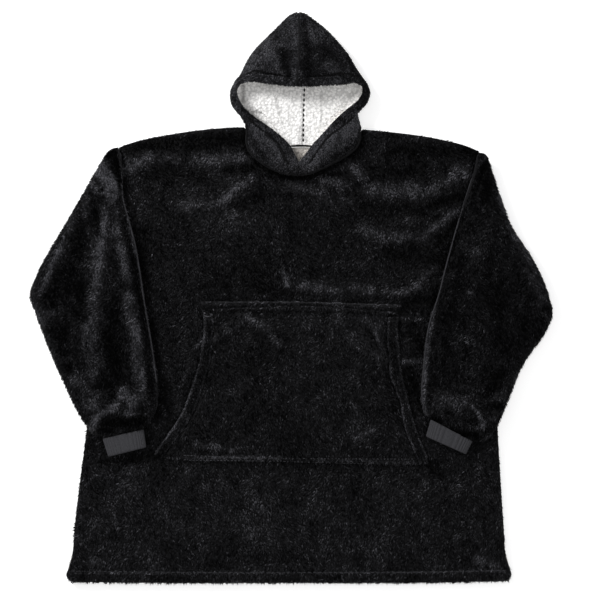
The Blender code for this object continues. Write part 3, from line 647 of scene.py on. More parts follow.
def closed_piece(name, top, bottom, outside, inside=None, inside_is_top=False):
    """A closed piece from two grids of points in millimetres, riding on the garment."""
    rows, columns = top.shape[:2]
    mesh = bmesh.new()
    bmesh.ops.create_grid(mesh, x_segments=columns - 1, y_segments=rows - 1, size=1)
    added = bmesh.ops.extrude_face_region(mesh, geom=mesh.faces[:], use_keep_orig=True)
    upper = {item for item in added["geom"] if isinstance(item, bmesh.types.BMVert)}
    lined = {item for item in added["geom"] if isinstance(item, bmesh.types.BMFace)}
    for vertex in mesh.verts:
        column = round((vertex.co.x + 1) / 2 * (columns - 1))
        row = round((vertex.co.y + 1) / 2 * (rows - 1))
        layer = top if vertex in upper else bottom
        vertex.co = (layer[row, column] + SHIFT) / 1000
    if inside:
        for face in mesh.faces:
            on_top = face in lined
            on_bottom = not any(vertex in upper for vertex in face.verts)
            face.material_index = int(on_top if inside_is_top else on_bottom)
    return finish(name, mesh, [outside] + ([inside] if inside else []))


def finish(name, mesh, materials):
    for face in mesh.faces:
        face.smooth = True
    bmesh.ops.recalc_face_normals(mesh, faces=mesh.faces)
    if mesh.calc_volume(signed=True) < 0:
        bmesh.ops.reverse_faces(mesh, faces=mesh.faces)
    data = bpy.data.meshes.new(name)
    mesh.to_mesh(data)
    mesh.free()
    for material in materials:
        data.materials.append(material)
    piece = bpy.data.objects.new(name, data)
    bpy.context.scene.collection.objects.link(piece)
    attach(piece, "root")
    return piece


def fine_edges(middle, edge, share):
    """Shares from 0 to 1, with these distances from each end, and the middle in even steps."""
    near = np.array(edge) * share
    inner = np.linspace(near[-1], 1 - near[-1], middle)[1:-1]
    return np.concatenate([near, inner, 1 - near[::-1]])


# Distances from a piece's edge of the rows that round it off.
EDGE = (0, 0.7, 2, 4, 7, 10, 14)
HEM_EDGE = (0, 0.7, 2, 4, 7, 11, 16, 19, 21, 22.5, 24, 27)
SLEEVE_EDGE = (0, 0.7, 2, 5, 9, 13, 18)
POCKET_SIDE, POCKET_END = (0, 0.6, 1.5, 3, 5), (0, 0.6, 1.5, 3, 5, 9, 14)
HOOD_EDGE = (0, 0.8, 2, 4, 7, 10, 13, 15.5, 17, 18, 19, 20.5, 23)
LINING_EDGE = (7, 8, 9, 12, 15, 18)
# Rough sizes, which turn those distances into shares.
BODY_WIDTH, BODY_LENGTH = 880, 900
SLEEVE_WIDTH, SLEEVE_LENGTH = 180, 570
POCKET_WIDTH, POCKET_LENGTH = 350, 300
BODY_RIM, SLEEVE_RIM = 13, 18  # how far in the edge is rounded
SHIFT = np.zeros(3)


def body_plan(neck, columns, rows):
    u = fine_edges(columns, EDGE, 1 / BODY_WIDTH)
    above = fine_edges(rows, EDGE, 1 / BODY_LENGTH)[len(EDGE) :] * 0.966 + 0.034
    v = np.concatenate([np.array(HEM_EDGE) / BODY_LENGTH, above])
    return patch(HEM, SHOULDER_LEFT + neck + SHOULDER_RIGHT, SIDE_LEFT, SIDE_RIGHT, u, v)


def body_rim(left, right, foot, top):
    """Share of a body panel's thickness at these distances from its edges."""
    sides = round_edge(np.minimum(left, right), BODY_RIM, 0.3)
    return np.minimum(sides, round_edge(np.minimum(foot, top), BODY_RIM, 0.3))


def body_front():
    plan = body_plan(NECK_FRONT, 128, 138)
    left, right, foot, top = edge_distance(plan)
    rim = body_rim(left, right, foot, top)
    wave = 1.5 * lattice(plan[..., 0], plan[..., 1], 9, 5)
    hem = HEM_RISE * np.clip(HEM_WIDTH + wave - foot, 0, 2) / 2
    hem += 1.3 * np.exp(-(((foot - HEM_WIDTH - wave) / 2.2) ** 2))
    lift = folds(plan, FRONT_FOLDS)
    puff = creased(plan, FRONT_CREASES, ((0.6, 30, 6), (0.5, 13, 7), (0.35, 6, 8)))
    high = FRONT_BOTTOM + BODY_CLOTH * rim + hem * rim + lift + np.where(covered(plan), -0.6, puff * rim)
    bottom = with_height(plan, FRONT_BOTTOM + lift)
    return closed_piece("front_panel", with_height(plan, high), bottom, PLUSH, SHERPA)


def covered(plan):
    """True where the pocket or a sleeve lies on the front."""
    x, y = plan[..., 0], plan[..., 1]
    hidden = np.zeros(x.shape, bool)
    for inner, side in ((SLEEVE_LEFT_INNER, -1), (SLEEVE_RIGHT_INNER, 1)):
        edge = smooth_line(inner)[::-1]
        hidden |= (side * (x - np.interp(y, edge[:, 1], edge[:, 0])) > -6) & (y > edge[0, 1] - 75)
    lines = (smooth_line(rows)[::-1] for rows in (BINDING_LEFT, BINDING_RIGHT))
    left, right = (np.interp(y, line[:, 1], line[:, 0]) for line in lines)
    between = (x > left - 6) & (x < right + 6)
    return hidden | (between & (y < -2) & (y > -342))


def body_back():
    plan = body_plan(NECK_BACK, 40, 40)
    bottom = with_height(plan, BODY_CLOTH * (1 - body_rim(*edge_distance(plan))))
    # The back panel's upper face is its fleece inside, in the darker sherpa copy: painted shade under the
    # hood.
    return closed_piece("back_panel", with_height(plan, BODY_CLOTH), bottom, PLUSH, SHADED_NECK_FLEECE, True)


def rests_on_body(plan, side):
    """Height under a sleeve: over the front, and down to the floor outside the body."""
    edge = smooth_line(SIDE_LEFT if side < 0 else SIDE_RIGHT)
    outside = side * (plan[..., 0] - np.interp(plan[..., 1], edge[:, 1], edge[:, 0]))
    t = np.clip((outside - 14) / 32, 0, 1)
    return ON_FRONT * (1 - t * t * (3 - 2 * t))


def sleeve(name, outer, inner, start, end, table, creases, side):
    u = fine_edges(44, SLEEVE_EDGE, 1 / SLEEVE_WIDTH)
    v = fine_edges(96, SLEEVE_EDGE, 1 / SLEEVE_LENGTH)
    plan = patch(start, end, outer, inner, u, v)
    left, right, foot, head = edge_distance(plan)
    rim = round_edge(np.minimum(left, right), SLEEVE_RIM, 0.1)
    rim = rim * round_edge(np.minimum(foot, head), SLEEVE_RIM, 0.16)
    shares, outside, inside = np.array(SLEEVE_HEIGHTS).T
    blend = left / (left + right)
    blend = blend * blend * (3 - 2 * blend)
    outside, inside = (np.interp(v, shares, heights)[:, None] for heights in (outside, inside))
    high = outside * (1 - blend) + inside * blend
    pleat = np.clip(1 - head / GATHER_REACH, 0, 1) ** 1.5
    swing = blend * GATHERS * 2 * np.pi + 1.5 * lattice(plan[..., 0], plan[..., 1], 25, 11)
    puff = creased(plan, creases, ((0.8, 28, 12), (0.6, 12, 13), (0.35, 6, 14)))
    high = high + (folds(plan, table) + puff + GATHER_DEPTH * pleat * np.cos(swing)) * rim
    low = rests_on_body(plan, side)
    middle = low + 0.45 * (high - low)
    top = middle + (high - middle) * rim
    bottom = middle - (middle - low) * rim
    return closed_piece(name, with_height(plan, top), with_height(plan, bottom), PLUSH)


def pocket():
    u = fine_edges(84, POCKET_SIDE, 1 / POCKET_WIDTH)
    v = fine_edges(66, POCKET_END, 1 / POCKET_LENGTH)
    plan = patch(POCKET_HEAD, POCKET_FOOT, POCKET_LEFT, POCKET_RIGHT, u, v)
    left, right, head, foot = edge_distance(plan)
    rim = round_edge(np.minimum(left, right), 7, 0.45) * round_edge(foot, 14, 0.25)
    swell = 3.0 * np.sin(np.pi * u)[None] * np.sin(np.pi * v)[:, None]
    inset = np.clip(foot / 30, 0, 1) * np.clip(head / 30, 0, 1)
    lift = np.clip(swell + folds(plan, POCKET_FOLDS) * inset, 0, None)
    puff = creased(plan, POCKET_CREASES, ((0.6, 28, 21), (0.5, 12, 22), (0.3, 6, 23)))
    sewn = -1.4 * np.exp(-(((foot - 5) / 1.6) ** 2)) + 0.9 * np.exp(-(((foot - 9.5) / 2) ** 2))
    top = POCKET_BOTTOM + POCKET_CLOTH * rim + lift + (puff + sewn) * np.clip(rim, 0, 1)
    bottom = POCKET_BOTTOM + np.minimum(lift, 3.2)
    rows = np.array(POCKET_BAND)
    places = np.linspace(0, 1, len(rows))
    band, band_top = [], []
    for at in np.linspace(0, 1, 9):
        row = [np.interp(at, places, column) for column in rows.T]
        left_x, left_y, middle_y, right_x, right_y, rise = row
        line = smooth_line([(left_x, left_y), ((left_x + right_x) / 2, middle_y), (right_x, right_y)])
        ends = round_edge(np.minimum(u, 1 - u) * 400, 9, 0.4)
        full = np.interp(at, [0, 0.12, 0.3, 0.6, 0.9, 1], [0.35, 0.75, 1, 1, 0.82, 0.75])
        band.append(at_share(line, u))
        high = POCKET_BOTTOM + (POCKET_CLOTH + rise) * full * ends
        band_top.append(high + 0.3 * lattice(band[-1][:, 0], band[-1][:, 1], 8, 24))
    plan = np.concatenate([np.array(band), plan])
    top = np.concatenate([np.array(band_top), top])
    bottom = np.concatenate([np.full((len(band), len(u)), POCKET_BOTTOM), bottom])
    return closed_piece("pocket_panel", with_height(plan, top), with_height(plan, bottom), PLUSH, SHERPA)


def binding(name, inner, outer, shift):
    v = np.linspace(0, 1, 110)
    inside = at_share(smooth_line(inner), 0.012 + v * 0.988) + np.array([shift, 0])
    outside = at_share(smooth_line(outer), v)
    u = np.linspace(0, 1, 13)[None, :, None]
    plan = inside[:, None] * (1 - u) + outside[:, None] * u
    section = 0.3 + 0.7 * np.sin(np.pi * u[0, :, 0]) ** 0.55
    ends = round_edge(np.minimum(v, 1 - v) * 300, 14, 0.4)[:, None]
    pucker = 0.35 * lattice(plan[..., 0], plan[..., 1], 9, 31)
    top = POCKET_BOTTOM + (BINDING_TOP - POCKET_BOTTOM + pucker) * section * ends
    return closed_piece(name, with_height(plan, top), with_height(plan, POCKET_BOTTOM), PLUSH)


def hood_face(mouth, outline, neck, nape, shift, across, t, depth, turn, on_top_count, rests):
    """One half of the hood, this deep inside its outer face.

    Rows run from the mouth over the fold to the back seam.
    """
    crown = [(x + shift, y) for x, y in CROWN_SEAM[:-1]] + [outline[-1]]
    back = [nape[-1]] + [(x + shift, y) for x, y in BACK_SEAM[1:]]
    fine = np.linspace(0, 1, 60)
    mouth_share = np.interp(t, [0, CORNER, 1], [0, MOUTH_CORNER, 1])
    fold_share = np.interp(t, [0, CORNER, 1], [0, OUTLINE_CORNER, 1])
    over = patch(neck, crown, mouth, outline, fine, t, mouth_share, fold_share, 6)
    under = patch(nape, [outline[-1], back[-1]], outline, back, fine, t, fold_share, t)
    shares, mouth_high, fold_high, reach = np.array(HOOD_HEIGHTS).T
    rows = []
    for j, share in enumerate(t):
        width, below = lengths(over[j])[-1], lengths(under[j])[-1]
        bend = min(np.interp(share, shares, reach), 0.85 * width, 0.8 * below)
        rim, tall = np.interp(share, shares, mouth_high), np.interp(share, shares, fold_high)
        if shift > 0:
            rim += RIGHT_OVER_LEFT * np.clip(1.5 - share / 0.14, 0, 1)
        flat = width - bend
        squeeze = min(1, flat / 40)
        near = np.array(across) * squeeze
        on_top = np.concatenate([near, near[-1] + (flat - near[-1]) * np.linspace(0, 1, on_top_count)[1:-1]])
        groove = BRIM_GROOVE * np.clip(1 - abs(on_top - BRIM_WIDTH * squeeze) / 3, 0, 1) * squeeze
        puff = 3 * np.sin(np.pi * on_top / width) * np.clip(width / 100, 0, 1)
        high = rim + (tall - rim) * (on_top / flat) ** 2 + puff - groove
        away = np.concatenate([on_top, flat + (bend - depth) * np.sin(turn)])
        high = np.concatenate([high - depth, tall / 2 + (tall / 2 - depth) * np.cos(turn)])
        top = with_height(at_distance(over[j], away)[None], high)[0]
        rest = bend + (below - bend) * rests
        away = np.concatenate([depth + (bend - depth) * (1 - np.cos(turn[1:])), rest])
        low = np.concatenate([tall / 2 - (tall / 2 - depth) * np.sin(turn[1:]), np.full(len(rest), depth)])
        rows.append(np.concatenate([top, with_height(at_distance(under[j], away)[None], low)[0]]))
    return np.array(rows)


def shell(name, outer, inner, outside, inside=None, lift_inner=0.0):
    """One layer of the hood, thinner at its rims."""
    left, right, foot, head = edge_distance(outer)
    near = np.minimum(np.minimum(left, right), np.minimum(foot, head))
    cloth = np.linalg.norm(inner - outer, axis=2)
    thin = ((1 - round_edge(near, cloth / 2, 0.4)) / 2)[..., None]
    first, second = outer + (inner - outer) * thin, inner + (outer - inner) * thin
    if lift_inner:
        way = (inner - outer) / np.maximum(cloth, 0.1)[..., None]
        x, y = outer[..., 0], outer[..., 1]
        curl = lumps(x, y + outer[..., 2], 6.5, 41) + 0.5 * lumps(x + outer[..., 2], y, 3.6, 42)
        second = second + way * (lift_inner * curl * np.clip(near / 3, 0, 1))[..., None]
    return closed_piece(name, first, second, outside, inside)


def hood(side, *tables):
    count = 84
    t = np.concatenate([[0, 0.004, 0.015, 0.03], np.linspace(0.045, 0.975, count), [0.988, 0.996, 1]])
    turn = np.radians(np.linspace(0, 90, 9))
    rests = np.concatenate([np.linspace(0, 0.97, 16)[1:], [0.99, 1]])
    layers = [hood_face(*tables, HOOD_EDGE, t, depth, turn, 16, rests) for depth in (0, HOOD_CLOTH)]
    x, y = layers[0][..., 0], layers[0][..., 1]
    ruffle = ripples(x, y, ((0.5, 24, 45), (0.4, 11, 46), (0.25, 6, 47)))
    raised = np.clip(layers[0][..., 2] / 10 - 1, 0, 1)
    layers[0][..., 2] += ruffle * raised
    outside = shell("hood_" + side + "_outside", *layers, PLUSH, SHERPA)
    coarse = np.concatenate([[0, 0.015], np.linspace(0.07, 0.94, 12), [0.985, 1]])
    start = coarse[LINING_ROW]
    t = np.concatenate([[0], np.linspace(start, 0.975, int(count * 1.1)), [0.988, 0.996, 1]])
    layers = []
    rests = np.concatenate([np.linspace(0, 0.97, 44)[1:], [0.99, 1]])
    for depth in (LINING_DEPTH, LINING_DEPTH + LINING_CLOTH):
        inside = hood_face(*tables, LINING_EDGE, t, depth, turn, 10, rests)
        columns = inside.shape[1]
        share = np.clip((columns - 14 - np.arange(columns)) / 16, 0, 1)[:, None]
        begun = inside[0] * (1 - share) + inside[1] * share
        steps = np.linspace(0, 1, 26)[:-1, None, None]
        layers.append(np.concatenate([begun * (1 - steps) + inside[1] * steps, inside[1:]]))
    lining = shell("hood_" + side + "_lining", *layers, SHERPA, lift_inner=1.5)
    return outside, lining


def cuff(name, corners):
    """A ribbed tube pressed flat, with rounded ribs."""
    near = np.array([row[:2] for row in corners])
    far = np.array([row[2:] for row in corners])
    each = 7
    around = CUFF_RIBS * each
    lengthwise = np.linspace(0.06, 0.94, 9)
    outside = [(0, 0.3), (0.02, 0.1)] + [(share, 0) for share in lengthwise] + [(0.98, 0.1), (1, 0.3)]
    section = outside + [(1, 0.8), (0.97, 1), (0.5, 1), (0.03, 1), (0, 0.8)]
    bpy.ops.mesh.primitive_torus_add(major_segments=around, minor_segments=len(section))
    ring = bpy.context.object
    mesh = bmesh.new()
    mesh.from_mesh(ring.data)
    bpy.data.objects.remove(ring)
    mesh.verts.ensure_lookup_table()
    for i in range(around):
        turn = 2 * np.pi * i / around
        ridge = abs(np.sin(np.pi * i / each)) ** 0.7
        flat = np.sign(np.cos(turn)) * abs(np.cos(turn)) ** 0.6
        tall = np.sign(np.sin(turn)) * abs(np.sin(turn)) ** 0.6
        for j, (share, depth) in enumerate(section):
            ends = near + (far - near) * share
            centre = ends.mean(axis=0)
            half = (ends[1] - ends[0]) / 2
            width = np.linalg.norm(half)
            wall = CUFF_WALL * depth - RIB_RISE * (1.5 * ridge - 0.5) * (depth < 0.2)
            x, y = centre + half / width * (width - 0.8 - wall) * flat
            up = (CUFF_SLIT / 2 + CUFF_WALL - wall) * tall
            mesh.verts[i * len(section) + j].co = (np.array([x, y, CUFF_MIDDLE + up]) + SHIFT) / 1000
    return finish(name, mesh, [RIBBED])


def ribbed_material():
    material, nodes, links, shader = nodes_of("ribbed_knit")
    place = nodes.new("ShaderNodeTexCoord").outputs["Object"]
    knit = add(nodes, "ShaderNodeTexNoise", Scale=700.0, Detail=3.0)
    links.new(place, knit.inputs["Vector"])
    colour = ramp(nodes, links, knit.outputs["Fac"], [(0.3, grey(0.022)), (0.75, grey(0.05))])
    links.new(colour, shader.inputs["Base Color"])
    bumped(nodes, links, shader, knit.outputs["Fac"], 0.5, 0.0008)
    surface(shader, 0.8, 0.05, 0.15)
    return material


RIBBED = ribbed_material()


def shape_of(piece):
    """Corners, triangles and their normals of a piece, in metres."""
    data = piece.data
    data.calc_loop_triangles()
    points = np.empty(len(data.vertices) * 3)
    data.vertices.foreach_get("co", points)
    corners = np.empty(len(data.loop_triangles) * 3, np.int64)
    data.loop_triangles.foreach_get("vertices", corners)
    points, corners = points.reshape(-1, 3), corners.reshape(-1, 3)
    first, second, third = (points[corners[:, k]] for k in range(3))
    across = np.cross(second - first, third - first)
    size = np.linalg.norm(across, axis=1)
    return points, corners, across / np.maximum(size, 1e-12)[:, None], size / 2


def pile(piece, count, covers, sheen_and_shade, lowest, tone_shift, length, seams=()):
    """Tufts of pile on a piece's outer side where nothing covers it.

    Each is a three-sided spike that leans with the nap.
    """
    points, corners, normals, area = shape_of(piece)
    slot = np.empty(len(piece.data.polygons), int)
    piece.data.polygons.foreach_get("material_index", slot)
    polygon = np.empty(len(corners), int)
    piece.data.loop_triangles.foreach_get("polygon_index", polygon)
    area = area * (slot[polygon] == 0) * (normals[:, 2] > lowest)
    luck = np.random.default_rng(next(seeds))
    count = count
    chosen = luck.choice(len(corners), count * 3 // 2, p=area / area.sum())
    a, b = luck.random((2, len(chosen)))
    a, b = np.where(a + b > 1, 1 - a, a)[:, None], np.where(a + b > 1, 1 - b, b)[:, None]
    first, second, third = (points[corners[chosen, k]] for k in range(3))
    spot = first + a * (second - first) + b * (third - first)
    normal = normals[chosen]
    trees = [BVHTree.FromPolygons(*[x.tolist() for x in shape_of(cover)[:2]]) for cover in covers]
    up = Vector((0, 0, 1))
    seen = away_from(spot[:, :2] * 1000 - SHIFT[:2], seams, SEAM_BARE)
    for k in np.flatnonzero(seen):
        x, y, z = spot[k]
        start = Vector((x, y, z + 0.0004))
        if any(tree.ray_cast(start, up, 0.05)[0] for tree in trees):
            seen[k] = False
    spot, normal = spot[seen][:count], normal[seen][:count]
    x, y = (spot[:, :2] * 1000 - SHIFT[:2]).T
    heading = ripples(x, y, ((0.9, 42, 51), (0.5, 16, 52)), NAP) + luck.normal(0, 0.45, len(x))
    lean = np.stack([np.cos(heading), np.sin(heading), np.zeros(len(x))], axis=1)
    lean -= normal * (lean * normal).sum(axis=1, keepdims=True)
    lean /= np.linalg.norm(lean, axis=1, keepdims=True)
    rise = luck.uniform(0.25, 0.6, len(x))[:, None]
    long = length / 1000 * luck.uniform(0.6, 1.15, len(x))[:, None]
    tip = spot + long * (lean * np.cos(rise) + normal * np.sin(rise))
    tip[:, 2] = np.maximum(tip[:, 2], 0.0006)
    side = np.cross(normal, lean)
    wide = luck.uniform(1.1, 1.7, len(x))[:, None] / 1000
    base = [
        spot + wide * (lean * np.cos(turn) + side * np.sin(turn)) - normal * 0.0004
        for turn in (np.pi, np.pi / 3, -np.pi / 3)
    ]
    vertices = np.stack([*base, tip], axis=1).reshape(-1, 3)
    k = np.arange(len(x))[:, None] * 4
    faces = np.concatenate([k + [0, 2, 3], k + [2, 1, 3], k + [1, 0, 3]], axis=1).reshape(-1, 3)
    data = bpy.data.meshes.new(piece.name + "_pile")
    data.vertices.add(len(vertices))
    data.vertices.foreach_set("co", vertices.ravel())
    data.loops.add(faces.size)
    data.loops.foreach_set("vertex_index", faces.ravel())
    data.polygons.add(len(faces))
    data.polygons.foreach_set("loop_start", np.arange(0, faces.size, 3))
    for material in TONES:
        data.materials.append(material)
    # The tufts' tones carry the strokes' painted sheen, highlights and shade.
    tone = pile_tone(x, y, sheen_and_shade) + tone_shift + luck.normal(0, 1.15, len(x))
    tone = np.clip(np.round(tone / TONE_STEP).astype(int), 0, len(TONES) - 1)
    data.polygons.foreach_set("material_index", np.repeat(tone, 3))
    data.update()
    data.validate()
    tufts = bpy.data.objects.new(piece.name + "_pile", data)
    bpy.context.scene.collection.objects.link(tufts)
    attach(tufts, "root")
    return tufts


def along(rows, tone, reach, shift=(0, 0)):
    """Strokes of painted highlight and painted shade that follow a line of points; a light tone paints
    highlight and a dark one shade.
    """
    moved = [(x + shift[0], y + shift[1]) for x, y in rows]
    return [(*a, *b, tone, reach) for a, b in zip(moved[:-1], moved[1:])]


def strongest(x, y, sheen_and_shade):
    """The lightest and the darkest stroke at each point, added, so that strokes in a row don't pile up."""
    light, dark = np.zeros(len(x)), np.zeros(len(x))
    for stroke in sheen_and_shade:
        own = folds(np.stack([x, y], axis=-1)[None], [stroke])[0]
        light, dark = np.maximum(light, own), np.minimum(dark, own)
    return light + dark


def pile_tone(x, y, sheen_and_shade):
    """Brightness of the pile, in doublings over the darkest tone: the strokes' painted sheen and shade, and
    random mottle.
    """
    own = SHEEN_AND_SHADE_STRENGTH * strongest(x, y, sheen_and_shade)
    y = y / 1.7
    mottle = ripples(x, y, ((0.5, 60, 61), (0.7, 22, 62), (0.8, 8, 63)))
    return BASE_TONE + own + mottle * (1 + 0.35 * np.clip(own, 0, 2))


def away_from(spots, lines, distance):
    """True for the plan points that are further than this from every one of the lines."""
    far = np.ones(len(spots), bool)
    for rows in lines:
        line = smooth_line(rows)
        for place in line:
            far &= np.linalg.norm(spots - place, axis=1) > distance
    return far


def paint(piece, sheen_and_shade, strength=1.0):
    """Multiplies the cloth's colour by the tone that the strokes paint at each point: painted sheen,
    highlights and shade.
    """
    points = shape_of(piece)[0][:, :2] * 1000 - SHIFT[:2]
    own = strongest(*points.T, sheen_and_shade)
    tone = 2 ** (np.clip(own, -4, 3) * strength)
    colours = np.stack([tone, tone, tone, np.ones(len(tone))], axis=1)
    layer = piece.data.color_attributes.new(name="tone", type="FLOAT_COLOR", domain="POINT")
    layer.data.foreach_set("color", colours.ravel())


def on_top_of(pieces, x, y):
    """Height in millimetres of the highest of these pieces at each point."""
    heights = np.full(len(x), -1.0)
    for piece in pieces:
        points, corners = shape_of(piece)[:2]
        tree = BVHTree.FromPolygons(points.tolist(), corners.tolist())
        for k in range(len(x)):
            spot = Vector(((x[k] + SHIFT[0]) / 1000, (y[k] + SHIFT[1]) / 1000, 0.2))
            hit = tree.ray_cast(spot, Vector((0, 0, -1)))[0]
            if hit:
                heights[k] = max(heights[k], hit.z * 1000)
    return heights


def stitches(name, lines, pieces, dash, gap, wide, tall, material, probe=0.0, foot=None):
    """Threads lying on the cloth: short rounded bars along each line, or one bar where the gap is nothing."""
    vertices, faces = [], []
    for rows in lines:
        line = smooth_line(rows)
        long = lengths(line)[-1]
        starts = np.arange(0, long - dash * 0.5, dash + gap) if gap else [0]
        for start in starts:
            end = min(start + dash, long) if gap else long
            count = max(4, int((end - start) / 4) + 2)
            centre = at_distance(line, np.linspace(start, end, count))
            along = np.gradient(centre, axis=0)
            along /= np.linalg.norm(along, axis=1, keepdims=True)
            side = np.stack([-along[:, 1], along[:, 0]], axis=1)
            high = on_top_of(pieces, *centre.T)
            if probe:
                beside = [on_top_of(pieces, *(centre + side * way).T) for way in (-probe, probe)]
                high = np.max([high, *beside], axis=0) - tall * 0.6
            if (high < 0).any():
                continue
            taper = np.sqrt(np.clip(np.minimum(np.arange(count), np.arange(count)[::-1]), 0.1, 1))
            first = len(vertices)
            for k in range(count):
                for turn in np.radians((0, 60, 120, 180, 240, 300)):
                    out = wide / 2 * taper[k] * np.cos(turn)
                    up = high[k] + tall * taper[k] * (0.35 + 0.65 * np.sin(turn))
                    if foot is not None and np.sin(turn) < -0.1:
                        up = foot
                    vertices.append(([*(centre[k] + side[k] * out), up] + SHIFT) / 1000)
            for k in range(count - 1):
                for m in range(6):
                    a, b = first + k * 6 + m, first + k * 6 + (m + 1) % 6
                    faces.append((a, b, b + 6, a + 6))
            faces.append(tuple(range(first + 5, first - 1, -1)))
            faces.append(tuple(range(len(vertices) - 6, len(vertices))))
    mesh = bmesh.new()
    made = [mesh.verts.new(vertex) for vertex in vertices]
    for face in faces:
        mesh.faces.new([made[k] for k in face])
    return finish(name, mesh, [material])


def align():
    """The move from the tables' origin to the part's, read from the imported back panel."""
    plan = body_plan(NECK_BACK, 40, 40)
    low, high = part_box("body_back")
    middle = (np.array(low) + np.array(high))[:2] * 500
    own = (plan.min(axis=(0, 1)) + plan.max(axis=(0, 1))) / 2
    return np.array([middle[0] - own[0], middle[1] - own[1], 0])


SHIFT = align()
back = body_back()
front = body_front()
sleeve_left = sleeve(
    "sleeve_left_cloth", SLEEVE_LEFT_OUTER, SLEEVE_LEFT_INNER, SLEEVE_LEFT_START, SLEEVE_LEFT_END,
    SLEEVE_LEFT_FOLDS, SLEEVE_LEFT_CREASES, -1,
)
sleeve_right = sleeve(
    "sleeve_right_cloth", SLEEVE_RIGHT_OUTER, SLEEVE_RIGHT_INNER, SLEEVE_RIGHT_START, SLEEVE_RIGHT_END,
    SLEEVE_RIGHT_FOLDS, SLEEVE_RIGHT_CREASES, 1,
)
cuff_left = cuff("cuff_left_knit", CUFF_LEFT)
cuff_right = cuff("cuff_right_knit", CUFF_RIGHT)
pouch = pocket()
binding_left = binding("binding_left", POCKET_LEFT, BINDING_LEFT, -1.6)
binding_right = binding("binding_right", POCKET_RIGHT, BINDING_RIGHT, 1.6)
hood_left, lining_left = hood("left", MOUTH_LEFT, OUTLINE_LEFT, HOOD_NECK_LEFT, NAPE_LEFT, -0.25)
hood_right, lining_right = hood("right", MOUTH_RIGHT, OUTLINE_RIGHT, HOOD_NECK_RIGHT, NAPE_RIGHT, 0.25)

# Painted highlights along the edges of the pocket and its bindings, on its turned top edge and along its
# foot.
pocket_edge_highlights = [
    *along(BINDING_LEFT, 2.2, 4.5, (2, 0)), *along(POCKET_LEFT, 1.9, 4.5, (-3, 0)),
    *along(BINDING_RIGHT, 2.0, 4.5, (-2, 0)), *along(POCKET_RIGHT, 1.9, 4.5, (3, 0)),
]
pocket_top_highlights = [
    *along([(-180, -10), (16, -8.5), (218, -16)], 1.9, 3.5),
    *along([(-160, -22.5), (16, -15.5), (210, -29)], 1.6, 3),
]
pocket_foot_highlights = [
    *along([(-255, -320), (-140, -320), (119, -325.5), (250, -330)], 1.9, 4.5),
    (-150, -319, -20, -321, 2.8, 6),
]
POCKET_SHEEN_AND_SHADE += pocket_top_highlights + pocket_foot_highlights
# Painted shade along the brim's stitches and the hood's neck seam, and a painted shadow of the hood's neck
# edge on the front.
HOOD_LEFT_SHEEN_AND_SHADE += [*along(BRIM_STITCHES[0], -2.6, 4), *along(BRIM_STITCHES[2], -2.4, 4)]
HOOD_LEFT_SHEEN_AND_SHADE += [*along(HOOD_NECK_LEFT, -1.6, 5)]
HOOD_RIGHT_SHEEN_AND_SHADE += [*along(BRIM_STITCHES[1], -2.6, 4), *along(BRIM_STITCHES[3], -2.4, 4)]
HOOD_RIGHT_SHEEN_AND_SHADE += [*along(HOOD_NECK_RIGHT, -1.6, 5)]
FRONT_SHEEN_AND_SHADE += [*along(HOOD_NECK_LEFT, -2.4, 9, (-3, -4)), *along(HOOD_NECK_RIGHT, -2.0, 8, (3, -4))]
paint(front, FRONT_SHEEN_AND_SHADE)
# Painted shade on the back panel beside the hood's neck corners and at the foot of the V between the hood's
# halves.
paint(back, [(-96, 346, -88, 306, -6, 16), (141, 342, 136, 306, -6, 16), (24, 262, 24, 240, -1.0, 30)])
paint(pouch, POCKET_SHEEN_AND_SHADE)
paint(sleeve_left, SLEEVE_LEFT_SHEEN_AND_SHADE)
paint(sleeve_right, SLEEVE_RIGHT_SHEEN_AND_SHADE)
paint(binding_left, pocket_edge_highlights)
paint(binding_right, pocket_edge_highlights)
paint(hood_left, HOOD_LEFT_SHEEN_AND_SHADE)
paint(hood_right, HOOD_RIGHT_SHEEN_AND_SHADE)
paint(lining_left, LINING_SHADE, 0.45)
paint(lining_right, LINING_SHADE, 0.45)

bindings, hood_halves = [binding_left, binding_right], [hood_left, hood_right]
over_front = [pouch, *bindings, sleeve_left, sleeve_right, cuff_left, cuff_right, *hood_halves]
# Columns: piece, tufts, what covers it, strokes of painted sheen and shade, least upward slope, added tone,
# length, bare seams. The added tone makes the left half of the hood and the left sleeve lighter than the
# right ones.
PILES = [
    (front, 62000, over_front, FRONT_SHEEN_AND_SHADE, 0.1, 0.0, 7.0, [HEM_STITCH]),
    (pouch, 17000, bindings, POCKET_SHEEN_AND_SHADE, 0.0, 0.0, 7.0, [*POCKET_STITCHES, BAND_STITCH]),
    (sleeve_left, 20000, [], SLEEVE_LEFT_SHEEN_AND_SHADE, 0.0, 0.15, 7.0),
    (sleeve_right, 20000, [], SLEEVE_RIGHT_SHEEN_AND_SHADE, 0.0, -0.45, 7.0),
    (binding_left, 2000, [], pocket_edge_highlights, 0.0, -0.2, 5.0, CROSS_STITCHES),
    (binding_right, 2000, [], pocket_edge_highlights, 0.0, -0.2, 5.0, CROSS_STITCHES),
    (hood_left, 11000, [], HOOD_LEFT_SHEEN_AND_SHADE, 0.0, 2.1, 4.5, BRIM_STITCHES),
    (hood_right, 11000, [], HOOD_RIGHT_SHEEN_AND_SHADE, 0.0, 1.0, 4.5, BRIM_STITCHES),
]
piles = {row[0].name: [pile(*row)] for row in PILES}

CROWN_LINE = [(10, 422), (15, 470), (16, 520), (14.3, 568.5)]
ARMHOLES = [
    [(-347, 298), (-339, 250), (-338.5, 208), (-328, 160)],
    [(375, 287), (366, 245), (351, 200), (336, 155)],
]
SLEEVE_SEAMS = [
    [
        (-342, 290), (-338, 240), (-337, 206), (-324, 153), (-312, 107), (-303, 57), (-293, -10),
        (-278, -98), (-268, -170),
    ],
    [
        (362, 240), (342, 178), (326, 124), (310, 66), (294, 4), (275.5, -54), (264.5, -138),
        (261.5, -200), (266, -222),
    ],
]
